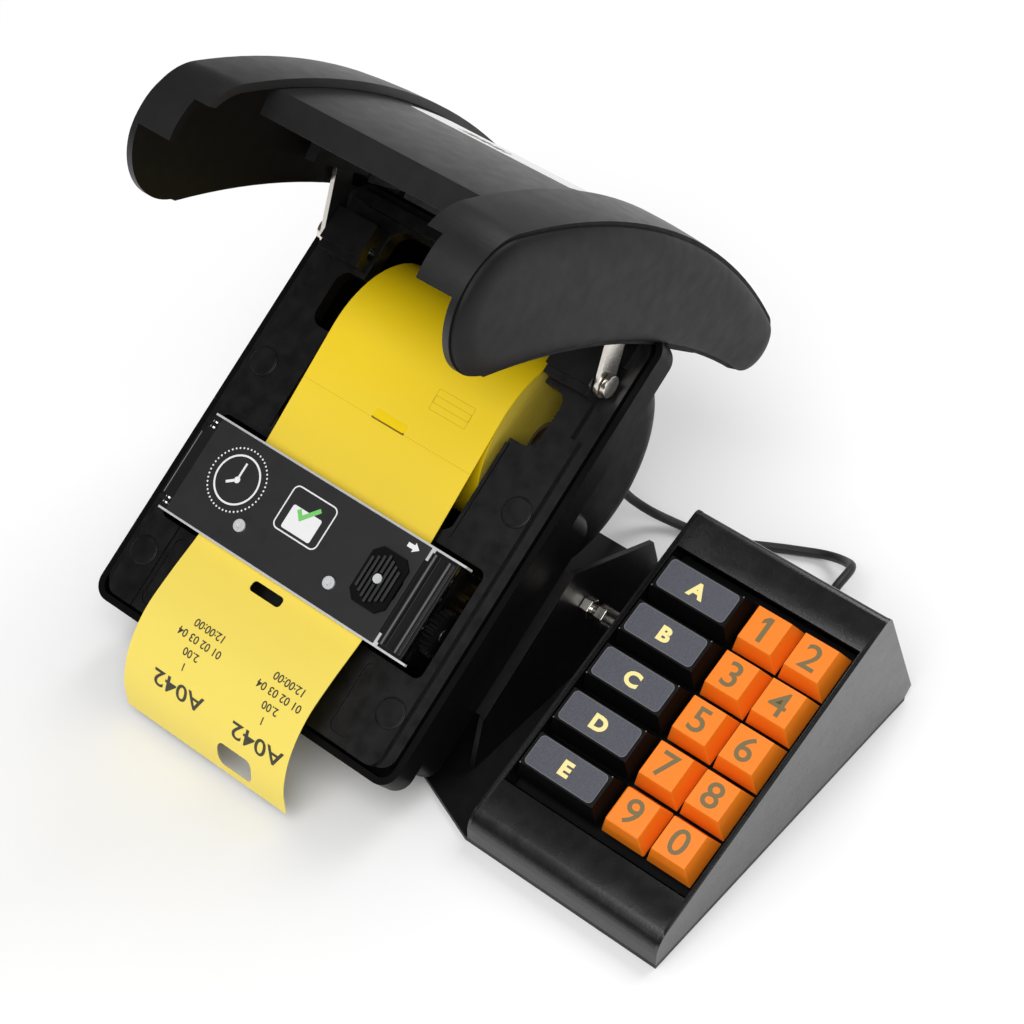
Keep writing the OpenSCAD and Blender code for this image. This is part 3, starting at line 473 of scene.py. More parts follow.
def repeat_tree():
    """Geometry Nodes that set one block or disc again and again along a line or round a ring."""
    tree = bpy.data.node_groups.get("repeat_small_form")
    if tree:
        return tree
    tree = bpy.data.node_groups.new("repeat_small_form", "GeometryNodeTree")
    face = tree.interface
    face.new_socket("Geometry", in_out="INPUT", socket_type="NodeSocketGeometry")
    for name, kind in (
        ("Count", "Int"), ("Ring Radius", "Float"), ("Start", "Vector"), ("Pitch", "Vector"),
        ("Size", "Vector"), ("Round", "Bool"), ("Material", "Material"),
    ):
        face.new_socket(name, in_out="INPUT", socket_type="NodeSocket" + kind)
    face.new_socket("Geometry", in_out="OUTPUT", socket_type="NodeSocketGeometry")
    given, result, line, ring, on_ring, places, block, disc, scale_disc, form, instance, real, coat = (
        tree.nodes.new(kind) for kind in (
            "NodeGroupInput", "NodeGroupOutput", "GeometryNodeMeshLine", "GeometryNodeMeshCircle",
            "FunctionNodeCompare", "GeometryNodeSwitch", "GeometryNodeMeshCube", "GeometryNodeMeshCylinder",
            "GeometryNodeTransform", "GeometryNodeSwitch", "GeometryNodeInstanceOnPoints",
            "GeometryNodeRealizeInstances", "GeometryNodeSetMaterial",
        )
    )
    on_ring.data_type, on_ring.operation = "FLOAT", "GREATER_THAN"
    fill(disc, Vertices=12, Radius=0.5, Depth=1.0)
    for source, out, target, into in (
        (given, "Count", line, "Count"), (given, "Start", line, "Start Location"),
        (given, "Pitch", line, "Offset"), (given, "Count", ring, "Vertices"),
        (given, "Ring Radius", ring, "Radius"), (given, "Size", block, "Size"),
        (given, "Size", scale_disc, "Scale"), (disc, "Mesh", scale_disc, "Geometry"),
        (given, "Round", form, "Switch"), (block, "Mesh", form, "False"),
        (scale_disc, "Geometry", form, "True"), (given, "Ring Radius", on_ring, "A"),
        (on_ring, "Result", places, "Switch"),
        (line, "Mesh", places, "False"), (ring, "Mesh", places, "True"),
        (places, "Output", instance, "Points"), (form, "Output", instance, "Instance"),
        (instance, "Instances", real, "Geometry"), (real, "Geometry", coat, "Geometry"),
        (given, "Material", coat, "Material"), (coat, "Geometry", result, "Geometry"),
    ):
        link(tree, source, out, target, into)
    return tree


def repeated(material, **inputs):
    """Plain mesh of a repeated small form, in millimetres."""
    tree = repeat_tree()
    holder = placed("repeat", bpy.data.meshes.new("repeat"))
    modifier = holder.modifiers.new("repeat", "NODES")
    modifier.node_group = tree
    inputs["Material"] = material
    for item in tree.interface.items_tree:
        if item.in_out == "INPUT" and item.name in inputs:
            modifier[item.identifier] = inputs[item.name]
    return baked(holder)


# Properties


def colour(name, description, default):
    return FloatVectorProperty(name=name, description=description, default=default, subtype="COLOR", min=0,
                               max=1)


def number(name, description, default, unit="NONE"):
    return FloatProperty(name=name, description=description, default=default, unit=unit)


class TicketPrinterColours(PropertyGroup):
    shell: colour("Shell", "Moulded plastic of the lid", (0.011, 0.0108, 0.0115))
    deck: colour("Deck", "Moulded plastic of the deck and the lower shell", (0.004, 0.004, 0.0042))
    cheek: colour("Cheek", "Soft-touch plastic of the lid's cheek pads", (0.011, 0.011, 0.0112))
    powder: colour("Powder coat", "Coat of the stand and the keypad case", (0.004, 0.004, 0.0042))
    zinc: colour("Zinc", "Bright plate of pins, motor and screws", (0.72, 0.73, 0.74))
    bare: colour("Bare steel", "Cut edges and screws of the print cover", (0.72, 0.73, 0.74))
    nickel: colour("Nickel", "Bright plate of the lid's arms", (0.78, 0.74, 0.68))
    rubber: colour("Rubber", "Glands, cord and platen", (0.016, 0.016, 0.017))
    foil: colour("Foil", "Printed skin of the print cover", (0.016, 0.0145, 0.0158))
    gloss: colour("Gloss", "Latch bar and painted cover sheet", (0.003, 0.003, 0.0032))
    paper: colour("Paper", "Ticket paper on the roll", (0.97, 0.68, 0.001))
    # Painted sheen: the paler colour of the ticket paper at its free end
    pale_paper: colour("Pale paper", "Free end of the ticket", (0.93, 0.74, 0.125))
    orange: colour("Orange", "Digit keys", (0.96, 0.235, 0.012))
    cap: colour("Cap", "Letter keys", (0.004, 0.004, 0.0042))
    inlay: colour("Inlay", "Textured inlay of the letter keys", (0.085, 0.088, 0.108))
    letter: colour("Letter", "Letters on the inlays", (0.98, 0.83, 0.34))
    digit: colour("Digit", "Digits on the orange keys", (0.2, 0.15, 0.06))
    ink: colour("Ink", "Pictograms on the print cover", (0.88, 0.88, 0.88))


class TicketPrinterSizes(PropertyGroup):
    cap_round: number("Cap rounding", "Radius of the keycaps' edges, in mm", 1.0)
    digit_height: number("Digit height", "Height of a digit, in mm", 9.6)
    digit_width: number("Digit width", "Breadth of the digits against plain ones", 1.08)
    letter_height: number("Letter height", "Height of a letter, in mm", 5.4)
    letter_width: number("Letter width", "Breadth of the letters against plain ones", 1.15)
    fold_round: number("Front fold", "Radius of the keypad case's front fold, in mm", 9.0)
    rear_fold_round: number("Rear fold", "Radius of the case's rear fold, in mm", 3.0)
    cheek_crown: number("Cheek crown", "Height of the cheek pads, in mm", 3.4)
    cord_diameter: number("Cord diameter", "Thickness of the link cord", 0.0036, "LENGTH")
    ring_dots: IntProperty(name="Ring dots", description="Dots round the clock pictogram", default=48, min=8)
    ticket_number: StringProperty(name="Ticket number", description="Plain number on the ticket",
                                  default="A042")


# Camera and cord

CAMERA_AT = (0.420528, -0.407127, 0.682846)
CAMERA_RIGHT = Vector((0.770308, 0.637671, -0.000464))
CAMERA_UP = Vector((-0.460202, 0.556429, 0.691810))
CAMERA_LENS, CAMERA_SENSOR = 87.01, 36
CAMERA_CLIP = (0.05, 30)

CASE_FRONT, CASE_REAR, CASE_BACK, CASE_BACK_Z = -32.0, 93.8, 117.4, 5.5
CASE_X0, CASE_X1, CASE_LIP, CASE_LIP_W = 90.0, 170.0, 0.6, 1.2
CASE_UNDER_KEYS = 3.9

DOME_R = 58
PRINTER_GLAND_X, PRINTER_GLAND_DROP = 40, 50
KEYPAD_GLAND_X, KEYPAD_GLAND_Z, KEYPAD_GLAND_L = 128, 11, 12
PRINTER_STUB, KEYPAD_STUB, CORD_LIFT, CORD_STEPS = 9, 5, 0.25, 5


class TICKET_OT_camera(Operator):
    """Set the camera at the photograph's place"""

    bl_idname = "ticket_printer.camera"
    bl_label = "Camera"

    def execute(self, context):
        turn = Matrix((CAMERA_RIGHT, CAMERA_UP, CAMERA_RIGHT.cross(CAMERA_UP))).transposed().to_4x4()
        lens = bpy.data.cameras.new("photo_camera")
        lens.sensor_width = CAMERA_SENSOR
        lens.lens = CAMERA_LENS
        lens.clip_start, lens.clip_end = CAMERA_CLIP
        camera = placed("photo_camera", lens)
        camera.matrix_world = Matrix.Translation(CAMERA_AT) @ turn
        context.scene.camera = camera
        return {"FINISHED"}


def curve_through(points, steps):
    """Catmull-Rom curve through points."""
    line = []
    last = len(points) - 1
    for i in range(last):
        a, b, c, d = (Vector(points[k]) for k in (max(i - 1, 0), i, i + 1, min(i + 2, last)))
        for k in range(steps):
            t = k / steps
            line.append(0.5 * (2 * b + (c - a) * t + (2 * a - 5 * b + 4 * c - d) * t * t
                               + (3 * b - a - 3 * c + d) * t * t * t))
    return line + [Vector(points[-1])]


def case_top(y):
    """Height of the keypad case's sloping top, in mm."""
    slope = radians(KEY_SLOPE)
    return (KEY_AT[2] - CASE_UNDER_KEYS * cos(slope)
            + (y - KEY_AT[1] - CASE_UNDER_KEYS * sin(slope)) * tan(slope))


def case_lean():
    return atan2(case_top(CASE_REAR) - CASE_BACK_Z, CASE_BACK - CASE_REAR)


def keypad_back(height):
    """Y of the keypad's sloping back at a height, and the way out of it, in mm."""
    lean = case_lean()
    return CASE_BACK - (height - CASE_BACK_Z) / tan(lean), Vector((0, sin(lean), cos(lean)))


class TICKET_OT_cord(Operator):
    """Lay the link cord from the printer's gland to the keypad's"""

    bl_idname = "ticket_printer.cord"
    bl_label = "Link Cord"

    def execute(self, context):
        line = self.route()
        curve = bpy.data.curves.new("link_cord_lead", "CURVE")
        curve.dimensions = "3D"
        spline = curve.splines.new("POLY")
        spline.points.add(len(line) - 1)
        for point, place in zip(spline.points, line):
            point.co = (*place, 1)
        spline.use_smooth = True
        curve.bevel_depth = sizes().cord_diameter / 2
        curve.bevel_resolution = 5
        curve.use_fill_caps = True
        curve.materials.append(paint("black_rubber"))
        lead = placed("link_cord_lead", curve)
        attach(lead, "base")
        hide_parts("link_cord")
        return {"FINISHED"}

    def route(self):
        """Middle line of the cord in metres, through the points of the solid's route."""
        drop = radians(PRINTER_GLAND_DROP)
        printer_out = Vector((0, cos(drop), -sin(drop)))
        start = Vector((PRINTER_GLAND_X, ROLL_AXIS.y / MM, ROLL_AXIS.z / MM)) + DOME_R * printer_out
        gland_y, keypad_out = keypad_back(KEYPAD_GLAND_Z)
        end = Vector((KEYPAD_GLAND_X, gland_y, KEYPAD_GLAND_Z)) + KEYPAD_GLAND_L * keypad_out
        floor = sizes().cord_diameter / MM / 2 + CORD_LIFT
        points = [start, start + PRINTER_STUB * printer_out, (42, 121, 13), (52, 128, 4), (74, 134, floor),
                  (96, 146, floor), (110, 152, 3.2), (120.5, 149, 9), (126.5, 141.5, 16),
                  end + KEYPAD_STUB * keypad_out, end]
        return [p * MM for p in curve_through(points, CORD_STEPS)]


# Stand and shells


class TICKET_OT_stand(Operator):
    """Coat the sheet stand and dress its screws, stud and nuts"""

    bl_idname = "ticket_printer.stand"
    bl_label = "Stand"

    def execute(self, context):
        dress(
            ("stand", "stand_coat", 0.35), ("stand_screws", "zinc_plate", 0.15),
            ("keypad_studs", "chrome_plate", 0.2), ("keypad_nuts", "chrome_plate", 0.3, 3),
            ("keypad_screws", "zinc_plate", 0.15),
        )
        return {"FINISHED"}


class TICKET_OT_shells(Operator):
    """Soften and texture the lower shell, the deck and what is set in them"""

    bl_idname = "ticket_printer.shells"
    bl_label = "Shell and Deck"

    def execute(self, context):
        dress(
            ("lower_shell", "body_plastic", 0.6, 3), ("deck_frame", "deck_plastic", 0.45, 3),
            ("deck_plugs", "deck_plastic", 0.35, 3), ("cord_glands", "black_rubber", 0.2),
            ("power_inlet", "black_rubber", 0.2), ("shell_screws", "zinc_plate", 0.15),
        )
        return {"FINISHED"}


# Lid

FRONT_LOBE, FRONT_R = Vector((-95.4, 22.1)), 24.0
REAR_LOBE, REAR_R = Vector((85.3, 25.4)), 12.0
TOP_R, HOLLOW_R, PANEL_DROP = 288.0, 329.0, 3.3
WING_IN, WING_OUT, WING_FALL, WING_CUTS = 44.5, 66.5, 1.2, 7
RIB_IN, RIB_OUT, RIB_LOW, RIB_DEEPER = 56.0, 59.3, 16.5, 1.3
CHEEK_INSET, CHEEK_SEAT, CHEEK_PROUD = 2.7, 1.15, 0.1
CHEEK_ROLL, CHEEK_STEPS, CHEEK_EASE = 8.5, 12, 1.6
LABEL_X, LABEL_P, LABEL_LIFT, LABEL_CELLS = (-38.0, 31.0), (-21.0, 24.0), (0.02, 0.14), 16
BARS_X, BARS_P, BARS_LIFT, BARS_PITCH, BARS_COUNT = -20.0, (-17.0, -11.0), (0.15, 0.19), 1.9, 11


def meet(a, reach_a, b, reach_b):
    """Point at those distances from a and b, on the right of the way from a to b."""
    apart = (b - a).length
    way = (b - a) / apart
    along = (reach_a ** 2 - reach_b ** 2 + apart ** 2) / (2 * apart)
    return a + along * way + sqrt(reach_a ** 2 - along ** 2) * Vector((way.y, -way.x))


TOP_C = meet(FRONT_LOBE, TOP_R - FRONT_R, REAR_LOBE, TOP_R - REAR_R)
HOLLOW_C = meet(FRONT_LOBE, HOLLOW_R + FRONT_R, REAR_LOBE, HOLLOW_R + REAR_R)


def heading(a, b):
    return degrees(atan2(b.y - a.y, b.x - a.x))


def bean(inset, under):
    """Side outline of the lid, that far inside its top and its lower edge, as 2D points."""
    over_front, over_rear = heading(TOP_C, FRONT_LOBE), heading(TOP_C, REAR_LOBE)
    under_front, under_rear = heading(FRONT_LOBE, HOLLOW_C) % 360, heading(REAR_LOBE, HOLLOW_C)
    line = arc(TOP_C, TOP_R - inset, over_front, over_rear, 40)
    line += spiral(REAR_LOBE, REAR_R - inset, REAR_R - under, over_rear, under_rear, 24)[1:]
    line += arc(HOLLOW_C, HOLLOW_R + under, heading(HOLLOW_C, REAR_LOBE), heading(HOLLOW_C, FRONT_LOBE),
                40)[1:]
    line += spiral(FRONT_LOBE, FRONT_R - under, FRONT_R - inset, under_front, over_front, 30)[1:-1]
    return line


def cheek_pad(side):
    """Puffed pad on a wing's side: its edge rolls over to a flat middle."""
    levels = [(0.0, -CHEEK_SEAT)]
    for i in range(CHEEK_STEPS + 1):
        inset = CHEEK_ROLL * (i / CHEEK_STEPS) ** CHEEK_EASE
        levels.append((inset, CHEEK_PROUD + sizes().cheek_crown * sqrt(1 - (1 - inset / CHEEK_ROLL) ** 2)))
    bm = bmesh.new()
    loops = []
    for inset, height in levels:
        outline = bean(CHEEK_INSET + inset, inset)
        loops.append([bm.verts.new((side * (WING_OUT + height), p, q)) for p, q in outline])
    for low, high in zip(loops, loops[1:]):
        skin(bm, low, high)
    bm.faces.new(loops[0])
    bm.faces.new(loops[-1])
    bmesh.ops.triangulate(bm, faces=[f for f in bm.faces if len(f.verts) > 4])
    bmesh.ops.recalc_face_normals(bm, faces=bm.faces)
    return to_mesh(bm)


def outward(p, q):
    """Direction out of the lid's band at a point of its side outline."""
    point = Vector((p, q))
    for lobe, ahead in ((FRONT_LOBE, -1), (REAR_LOBE, 1)):
        edge = (lobe - TOP_C).normalized()
        if ahead * ((point - TOP_C).x * edge.y - (point - TOP_C).y * edge.x) > 0:
            return (point - lobe).normalized()
    return (point - TOP_C).normalized()


def crowned_wing(node, side):
    """Wing whose top band falls away towards its outer rim, with a deeper inner rib and dull inner faces."""
    back = LID.inverted()
    bm = merged(node)
    bmesh.ops.transform(bm, matrix=back, verts=bm.verts)
    for i in range(1, WING_CUTS):
        cut(bm, (side * (WING_IN + (WING_OUT - WING_IN) * i / WING_CUTS), 0, 0), (1, 0, 0), 1e-4)
    for v in bm.verts:
        if RIB_IN < abs(v.co.x) < RIB_OUT and abs(v.co.z - RIB_LOW) < 0.1:
            v.co.z -= RIB_DEEPER
        way = outward(v.co.y, v.co.z)
        share = min(1, max(0, (abs(v.co.x) - WING_IN) / (WING_OUT - WING_IN)))
        up = min(1, max(0, (way.y + 0.2) / 0.7))
        v.co.y -= WING_FALL * share * share * up * way.x
        v.co.z -= WING_FALL * share * share * up * way.y
    bmesh.ops.transform(bm, matrix=LID, verts=bm.verts)
    round_edges(bm, 0.7, segments=3, angle=34)

    def inner(face):
        way = (back.to_3x3() @ face.normal).normalized()
        place = back @ face.center
        over = outward(place.y, place.z)
        across = abs(way.x) > 0.8 and (way.x * side > 0 or abs(place.x) > WING_IN + 1)
        return across or way.y * over.x + way.z * over.y < -0.25

    paint_faces(formed(node, bm, paint("shell_plastic")), paint("inner_plastic"), inner)


def laid_on_panel(bm):
    """Bends a flat mesh (x, p, height) onto the lid's sunk cross panel."""
    for v in bm.verts:
        radius = TOP_R - PANEL_DROP + v.co.z
        v.co.z = TOP_C.y + sqrt(radius ** 2 - (v.co.y - TOP_C.x) ** 2)
    return bm


class TICKET_OT_lid(Operator):
    """Shape the lid's wings, cheek pads, panel, arms and plain label"""

    bl_idname = "ticket_printer.lid"
    bl_label = "Lid"

    def execute(self, context):
        for name, side in (("left", -1), ("right", 1)):
            crowned_wing("lid_wing_" + name, side)
            node = "lid_cheek_" + name
            piece(node + "_form", cheek_pad(side), LID, paint("cheek_plastic"), "lid", [node],
                  angle=60)
        dress(("lid_panel", "shell_plastic", 0.4), ("lid_pins", "nickel_plate", 0.35, 3),
              ("lid_screws", "zinc_plate", 0.15))
        arms = rounded("lid_arms", paint("nickel_plate"), 0.3, 3)
        # Painted dark reflection: the arms' inner faces take dark cheek plastic instead of nickel
        paint_faces(arms, paint("cheek_plastic"),
                    lambda face: face.normal.x * face.center.x < -1e-6 and abs(face.normal.x) > 0.7)
        self.label()
        return {"FINISHED"}

    def label(self):
        """Paper label with plain bars."""
        (x0, x1), (p0, p1) = LABEL_X, LABEL_P
        bm = bmesh.new()
        for i in range(LABEL_CELLS):
            a, b = (p0 + (p1 - p0) * k / LABEL_CELLS for k in (i, i + 1))
            prism(rect(x0, x1, a, b), *LABEL_LIFT, bm)
        bmesh.ops.remove_doubles(bm, verts=bm.verts, dist=1e-4)
        inner = [f for f in bm.faces if abs(f.normal.y) > 0.9 and p0 + 1 < f.calc_center_median().y < p1 - 1]
        bmesh.ops.delete(bm, geom=inner, context="FACES_ONLY")
        piece("lid_label", to_mesh(laid_on_panel(bm)), LID, paint("label_paper"), "lid", angle=60)
        bars = bmesh.new()
        for i in range(BARS_COUNT):
            start = BARS_X + i * BARS_PITCH
            prism(rect(start, start + 0.5 + 0.5 * (i % 3), *BARS_P), *BARS_LIFT, bars)
        piece("lid_label_bars", to_mesh(laid_on_panel(bars)), LID, paint("dark_print"), "lid")


# Paper

STRIP_R, STRIP_HALF_T = ROLL_R + 0.45, 0.15
STRIP_WAY = ((16.0, 2.2), (2, 4.4), (-8.5, 5.95), (-23.6, 6.8), (-41, 9.4), (-56, 10.2), (-70, 5.8),
             (-81, -3), (-88, -14))
TICKET_COLUMNS, TICKET_LINES = (-13.0, 24.0), ("1", "2.00", "01 02 03 04", "12:00:00")
NUMBER_AT, NUMBER_HEIGHT, LINES_AT, LINE_HEIGHT, LINE_PITCH = 24.0, 6.6, 33.0, 3.0, 5.2
TEAR_V, TEAR_CUTS, TEAR_X, TEAR_PITCH = 42.0, 62, -37.2, 1.22
TEAR_CUT, SLOT_X, SLOT_LIFT = (0.85, 0.16, 0.03), (-6.3, 8.3), (0.01, 0.04)
FLAP_X, FLAP_LONG, FLAP_BEND, FLAP_RISE = (-6.0, 8.0), 3.4, 2.4, 0.1
FRAME_V, FRAME_X, FRAME_HALF, FRAME_LINE, FRAME_INSETS = 58.0, 19.5, (8, 4), 0.15, (0.0, 2.6)
PRINT_LIFT, PRINT_T = 0.02, 0.03


def strip_points():
    """Middle line of the ticket strip in the deck's (v, w), as in the solids."""
    away = Vector((ROLL_V, ROLL_W)) - Vector(STRIP_WAY[0])
    tangent = degrees(atan2(-away.y, -away.x)) % 360 - degrees(acos(STRIP_R / away.length))
    wound = arc((ROLL_V, ROLL_W), STRIP_R, -20, tangent, 60)
    return [Vector(p) for p in wound] + curve_through(STRIP_WAY, 12)


class StripLine:
    """Length along the strip, from its free end, to a place on its outer face."""

    def __init__(self):
        self.points = strip_points()[::-1]
        self.reach = [0.0]
        for a, b in zip(self.points, self.points[1:]):
            self.reach.append(self.reach[-1] + (b - a).length)

    def at(self, length, lift):
        length = min(max(length, 0.0), self.reach[-1] - 1e-6)
        i = max(k for k in range(len(self.reach) - 1) if self.reach[k] <= length)
        a, b = self.points[i], self.points[i + 1]
        share = (length - self.reach[i]) / (self.reach[i + 1] - self.reach[i])
        before, after = self.points[max(i - 1, 0)], self.points[min(i + 2, len(self.points) - 1)]
        way = ((b - before) * (1 - share) + (after - a) * share).normalized()
        return a.lerp(b, share) + (STRIP_HALF_T + lift) * Vector((-way.y, way.x))

    def length_at(self, v):
        """Length from the free end to where the strip passes v."""
        i = next(k for k, point in enumerate(self.points) if point.x > v)
        share = (v - self.points[i - 1].x) / (self.points[i].x - self.points[i - 1].x)
        return self.reach[i - 1] + share * (self.reach[i] - self.reach[i - 1])

    def lay(self, name, bm, finish_name):
        """Piece from a flat mesh (x, length, height) that is bent onto the strip."""
        for v in split_long(bm).verts:
            v.co = Vector((v.co.x, *self.at(v.co.y, v.co.z)))
        piece(name, to_mesh(bm), DECK, paint(finish_name), "base")


class TICKET_OT_paper(Operator):
    """Finish the paper roll and the ticket, with plain numbers, a perforation and a tear flap"""

    bl_idname = "ticket_printer.paper"
    bl_label = "Paper"

    def execute(self, context):
        roll = rounded("paper_roll", paint("yellow_paper"), 0.2)
        paint_faces(roll, wound_paper(), lambda face: abs(face.normal.x) > 0.9)
        dress(("roll_core", "card_core", 0.15))
        rounded("ticket_strip", ticket_paper(), 0)
        line = StripLine()
        self.numbers(line)
        self.perforation(line)
        return {"FINISHED"}

    def numbers(self, line):
        """Plain numbers in two columns on the hanging end."""
        marks = bmesh.new()

        def add(bm, x, length):
            bmesh.ops.rotate(bm, verts=bm.verts, cent=(0, 0, 0), matrix=Matrix.Rotation(pi, 3, "Z"))
            bmesh.ops.translate(bm, verts=bm.verts, vec=(x, length, PRINT_LIFT))
            take(marks, to_mesh(bm))

        for column in TICKET_COLUMNS:
            add(lettering(sizes().ticket_number, NUMBER_HEIGHT, 0.1, PRINT_T, 1.2), column, NUMBER_AT)
            for i, text in enumerate(TICKET_LINES):
                line_at = LINES_AT + LINE_PITCH * i
                add(lettering(text, LINE_HEIGHT, 0.05, PRINT_T), column - 1.0 + 0.8 * i, line_at)
        line.lay("ticket_print", marks, "dark_print")

    def perforation(self, line):
        """Row of cuts across the paper on the roll, the flap in it with a painted shadow along its slot, and
        a faint pressed frame.
        """
        there = line.length_at(TEAR_V)
        cuts = bmesh.new()
        take(cuts, repeated(paint("paper_crease"), Count=TEAR_CUTS, Start=(TEAR_X, there, PRINT_LIFT),
                            Pitch=(TEAR_PITCH, 0.0, 0.0), Size=TEAR_CUT))
        x, y = FRAME_X, line.length_at(FRAME_V)
        for inset in FRAME_INSETS:
            outer, inner = (
                round_rect(x - a, x + a, y - b + inset, y + b - inset, 0.3, 1)
                for a, b in (FRAME_HALF, [half - FRAME_LINE for half in FRAME_HALF])
            )
            band(outer, inner, *SLOT_LIFT, cuts)
        line.lay("paper_cuts", cuts, "paper_crease")
        # Painted shadow: a dark strip along the flap's slot
        slot_shadow = prism(round_rect(*SLOT_X, there - 0.3, there + 0.5, 0.3), *SLOT_LIFT)
        line.lay("paper_slot", slot_shadow, "paper_shade")
        flap = prism(round_rect(*FLAP_X, there + 0.3, there + FLAP_LONG, 0.7), 0.02, 0.1)
        for v in flap.verts:
            v.co.z += FLAP_RISE * max(0, there + FLAP_BEND - v.co.y)
        line.lay("paper_flap", flap, "yellow_paper")


# Print cover

COVER_TOP, INK_LIFT = 9.6, (0.01, 0.05)
COVER_FRONT, COVER_REAR, COVER_RIM = -23.6, 15.2, 0.8
BAR_GAP_U, BAR_SPAN_V = (43.1, 44.9), (-18.5, 9.8)
CLOCK, CLOCK_RING, CLOCK_HUB = (-35.0, -1.0), (9.2, 8.5), 1.2
CLOCK_DOTS_R, CLOCK_DOT = 11.5, (0.7, 0.7, 0.04)
HAND_FROM, HANDS = 1.1, ((6.6, 0.4, 90), (4.4, 0.5, 215))
SLIP, ARROW_AT, ARROW_FORM = (-4.0, 1.0), (37.3, 11.3), (5.0, 1.6, 2.4, 3.6)
TICK = ((-4.2, 0.2), (-3.0, 1.4), (-1.4, -0.4), (3.4, 4.8), (4.6, 3.7), (-1.3, -2.9))
RIB_TOP = 11.75
LATCH_SCREW, LATCH_SCREW_R, LATCH_SCREW_Z = (33.2, -3.9), 1.7, (10.9, 12.1)


class TICKET_OT_cover(Operator):
    """Finish the print cover with its bare edges, foil, plain pictograms and screws"""

    bl_idname = "ticket_printer.cover"
    bl_label = "Print Cover"

    def execute(self, context):
        self.channel()
        dress(
            ("cover_skin", "printed_foil", 0.15), ("cover_screws", "bare_steel", 0.2, 3),
            ("cover_hinge_pin", "zinc_plate", 0.2), ("latch_bar", "gloss_black", 1.0, 5),
        )
        self.pictograms()
        return {"FINISHED"}

    def channel(self):
        """Painted sheet with bare front and rear edges, and bare marks beside the latch bar's ends."""
        bm = merged("cover_channel")
        back = DECK.inverted()
        bmesh.ops.transform(bm, matrix=back, verts=bm.verts)
        painted = (COVER_FRONT + COVER_RIM, COVER_REAR - COVER_RIM)
        for way, places in (((0, 1, 0), painted + BAR_SPAN_V), ((1, 0, 0), BAR_GAP_U)):
            for place in places:
                cut(bm, place * Vector(way), way, 1e-4)
        bmesh.ops.transform(bm, matrix=DECK, verts=bm.verts)
        round_edges(bm, 0.2)

        def coated(face):
            u, v = (back @ face.center).xy
            beside_bar = BAR_GAP_U[0] < u < BAR_GAP_U[1] and not BAR_SPAN_V[0] < v < BAR_SPAN_V[1]
            return painted[0] < v < painted[1] and not beside_bar

        paint_faces(formed("cover_channel", bm, paint("bare_steel")), paint("gloss_black"), coated)

    def pictograms(self):
        """Clock with a ring of dots, slip with a tick, and a plain arrow."""
        low, high = (COVER_TOP + lift for lift in INK_LIFT)
        ink = bmesh.new()
        band(*(circle(CLOCK, radius, 48) for radius in CLOCK_RING), low, high, ink)
        prism(circle(CLOCK, CLOCK_HUB, 24), low, high, ink)
        for length, half, way_deg in HANDS:
            prism(turned(rect(HAND_FROM, length, -half, half), way_deg, CLOCK), low, high, ink)
        x, y = SLIP
        band(round_rect(x - 10, x + 10, y - 9, y + 8, 2.5),
             round_rect(x - 9.5, x + 9.5, y - 8.5, y + 7.5, 2.0), low, high, ink)
        prism(round_rect(x - 6.5, x + 6.5, y - 7.5, y + 1.5, 0.8), low, high, ink)
        prism(turned(arrow(*ARROW_FORM), 0, ARROW_AT), low, high, ink)
        piece("cover_pictograms", to_mesh(ink), DECK, paint("white_ink"), "cover")
        dots = repeated(paint("white_ink"), **{"Count": sizes().ring_dots, "Ring Radius": CLOCK_DOTS_R,
                                               "Round": True, "Size": CLOCK_DOT})
        dots.transform(Matrix.Translation((*CLOCK, (low + high) / 2)))
        piece("cover_ring_dots", dots, DECK, paint("white_ink"), "cover")
        tick = prism(turned(TICK, 0, SLIP), high, high + 0.03)
        piece("cover_tick", to_mesh(tick), DECK, paint("green_ink"), "cover")


class TICKET_OT_latch(Operator):
    """Shape the sliding latch button with painted highlights on its grip ribs' tops, and its screw"""

    bl_idname = "ticket_printer.latch"
    bl_label = "Latch Button"

    def execute(self, context):
        button = rounded("latch_button", paint("latch_plastic"), 0.2)
        back = DECK.inverted()
        # Painted highlight: the grip ribs' tops are a lighter grey than the button
        paint_faces(button, paint("worn_rib"), lambda face: (back @ face.center).z > RIB_TOP)
        head = prism(circle(LATCH_SCREW, LATCH_SCREW_R, 24), *LATCH_SCREW_Z)
        round_edges(head, 0.35 / MM, 3)
        piece("latch_screw", to_mesh(head), DECK, paint("bare_steel"), "latch")
        return {"FINISHED"}


class TICKET_OT_mechanism(Operator):
    """Dress the inner pieces of the print unit"""

    bl_idname = "ticket_printer.mechanism"
    bl_label = "Print Unit"

    def execute(self, context):
        dress(
            ("mech_frame", "powder_coat", 0.2), ("print_head", "head_alloy", 0.15),
            ("platen_roller", "black_rubber", 0.3), ("platen_shaft", "shaft_steel", 0.25),
            ("platen_gear", "gear_acetal", 0), ("idler_gear", "gear_acetal", 0),
            ("motor", "zinc_plate", 0.25), ("motor_pinion", "pinion_brass", 0),
            ("control_board", "board_mask", 0.1),
        )
        return {"FINISHED"}


# Keypad

INLAY_X, INLAY_Y, INLAY_Z, RIM_GLINT_Z = (-14.2, 14.2), (-5.6, 5.8), (-0.35, 0.05), (0.0, 0.07)
GLINT_AT, GLINT_APART, GLINT_SIZE = (-15.0, -6.3, 0.03), (30.0, 12.6, 0.0), (0.5, 0.5, 0.1)
LETTER_BOLD, LETTER_LIFT, DIGIT_BOLD, DIGIT_LIFT, SIGN_T = 0.36, 0.06, 0.12, 0.01, 0.05


def on_lip(face):
    """Whether a face of the case lies on one of its raised side lips."""
    x = face.calc_center_median().x / MM
    return abs(face.normal.x) < 0.5 and not CASE_X0 + CASE_LIP_W < x < CASE_X1 - CASE_LIP_W


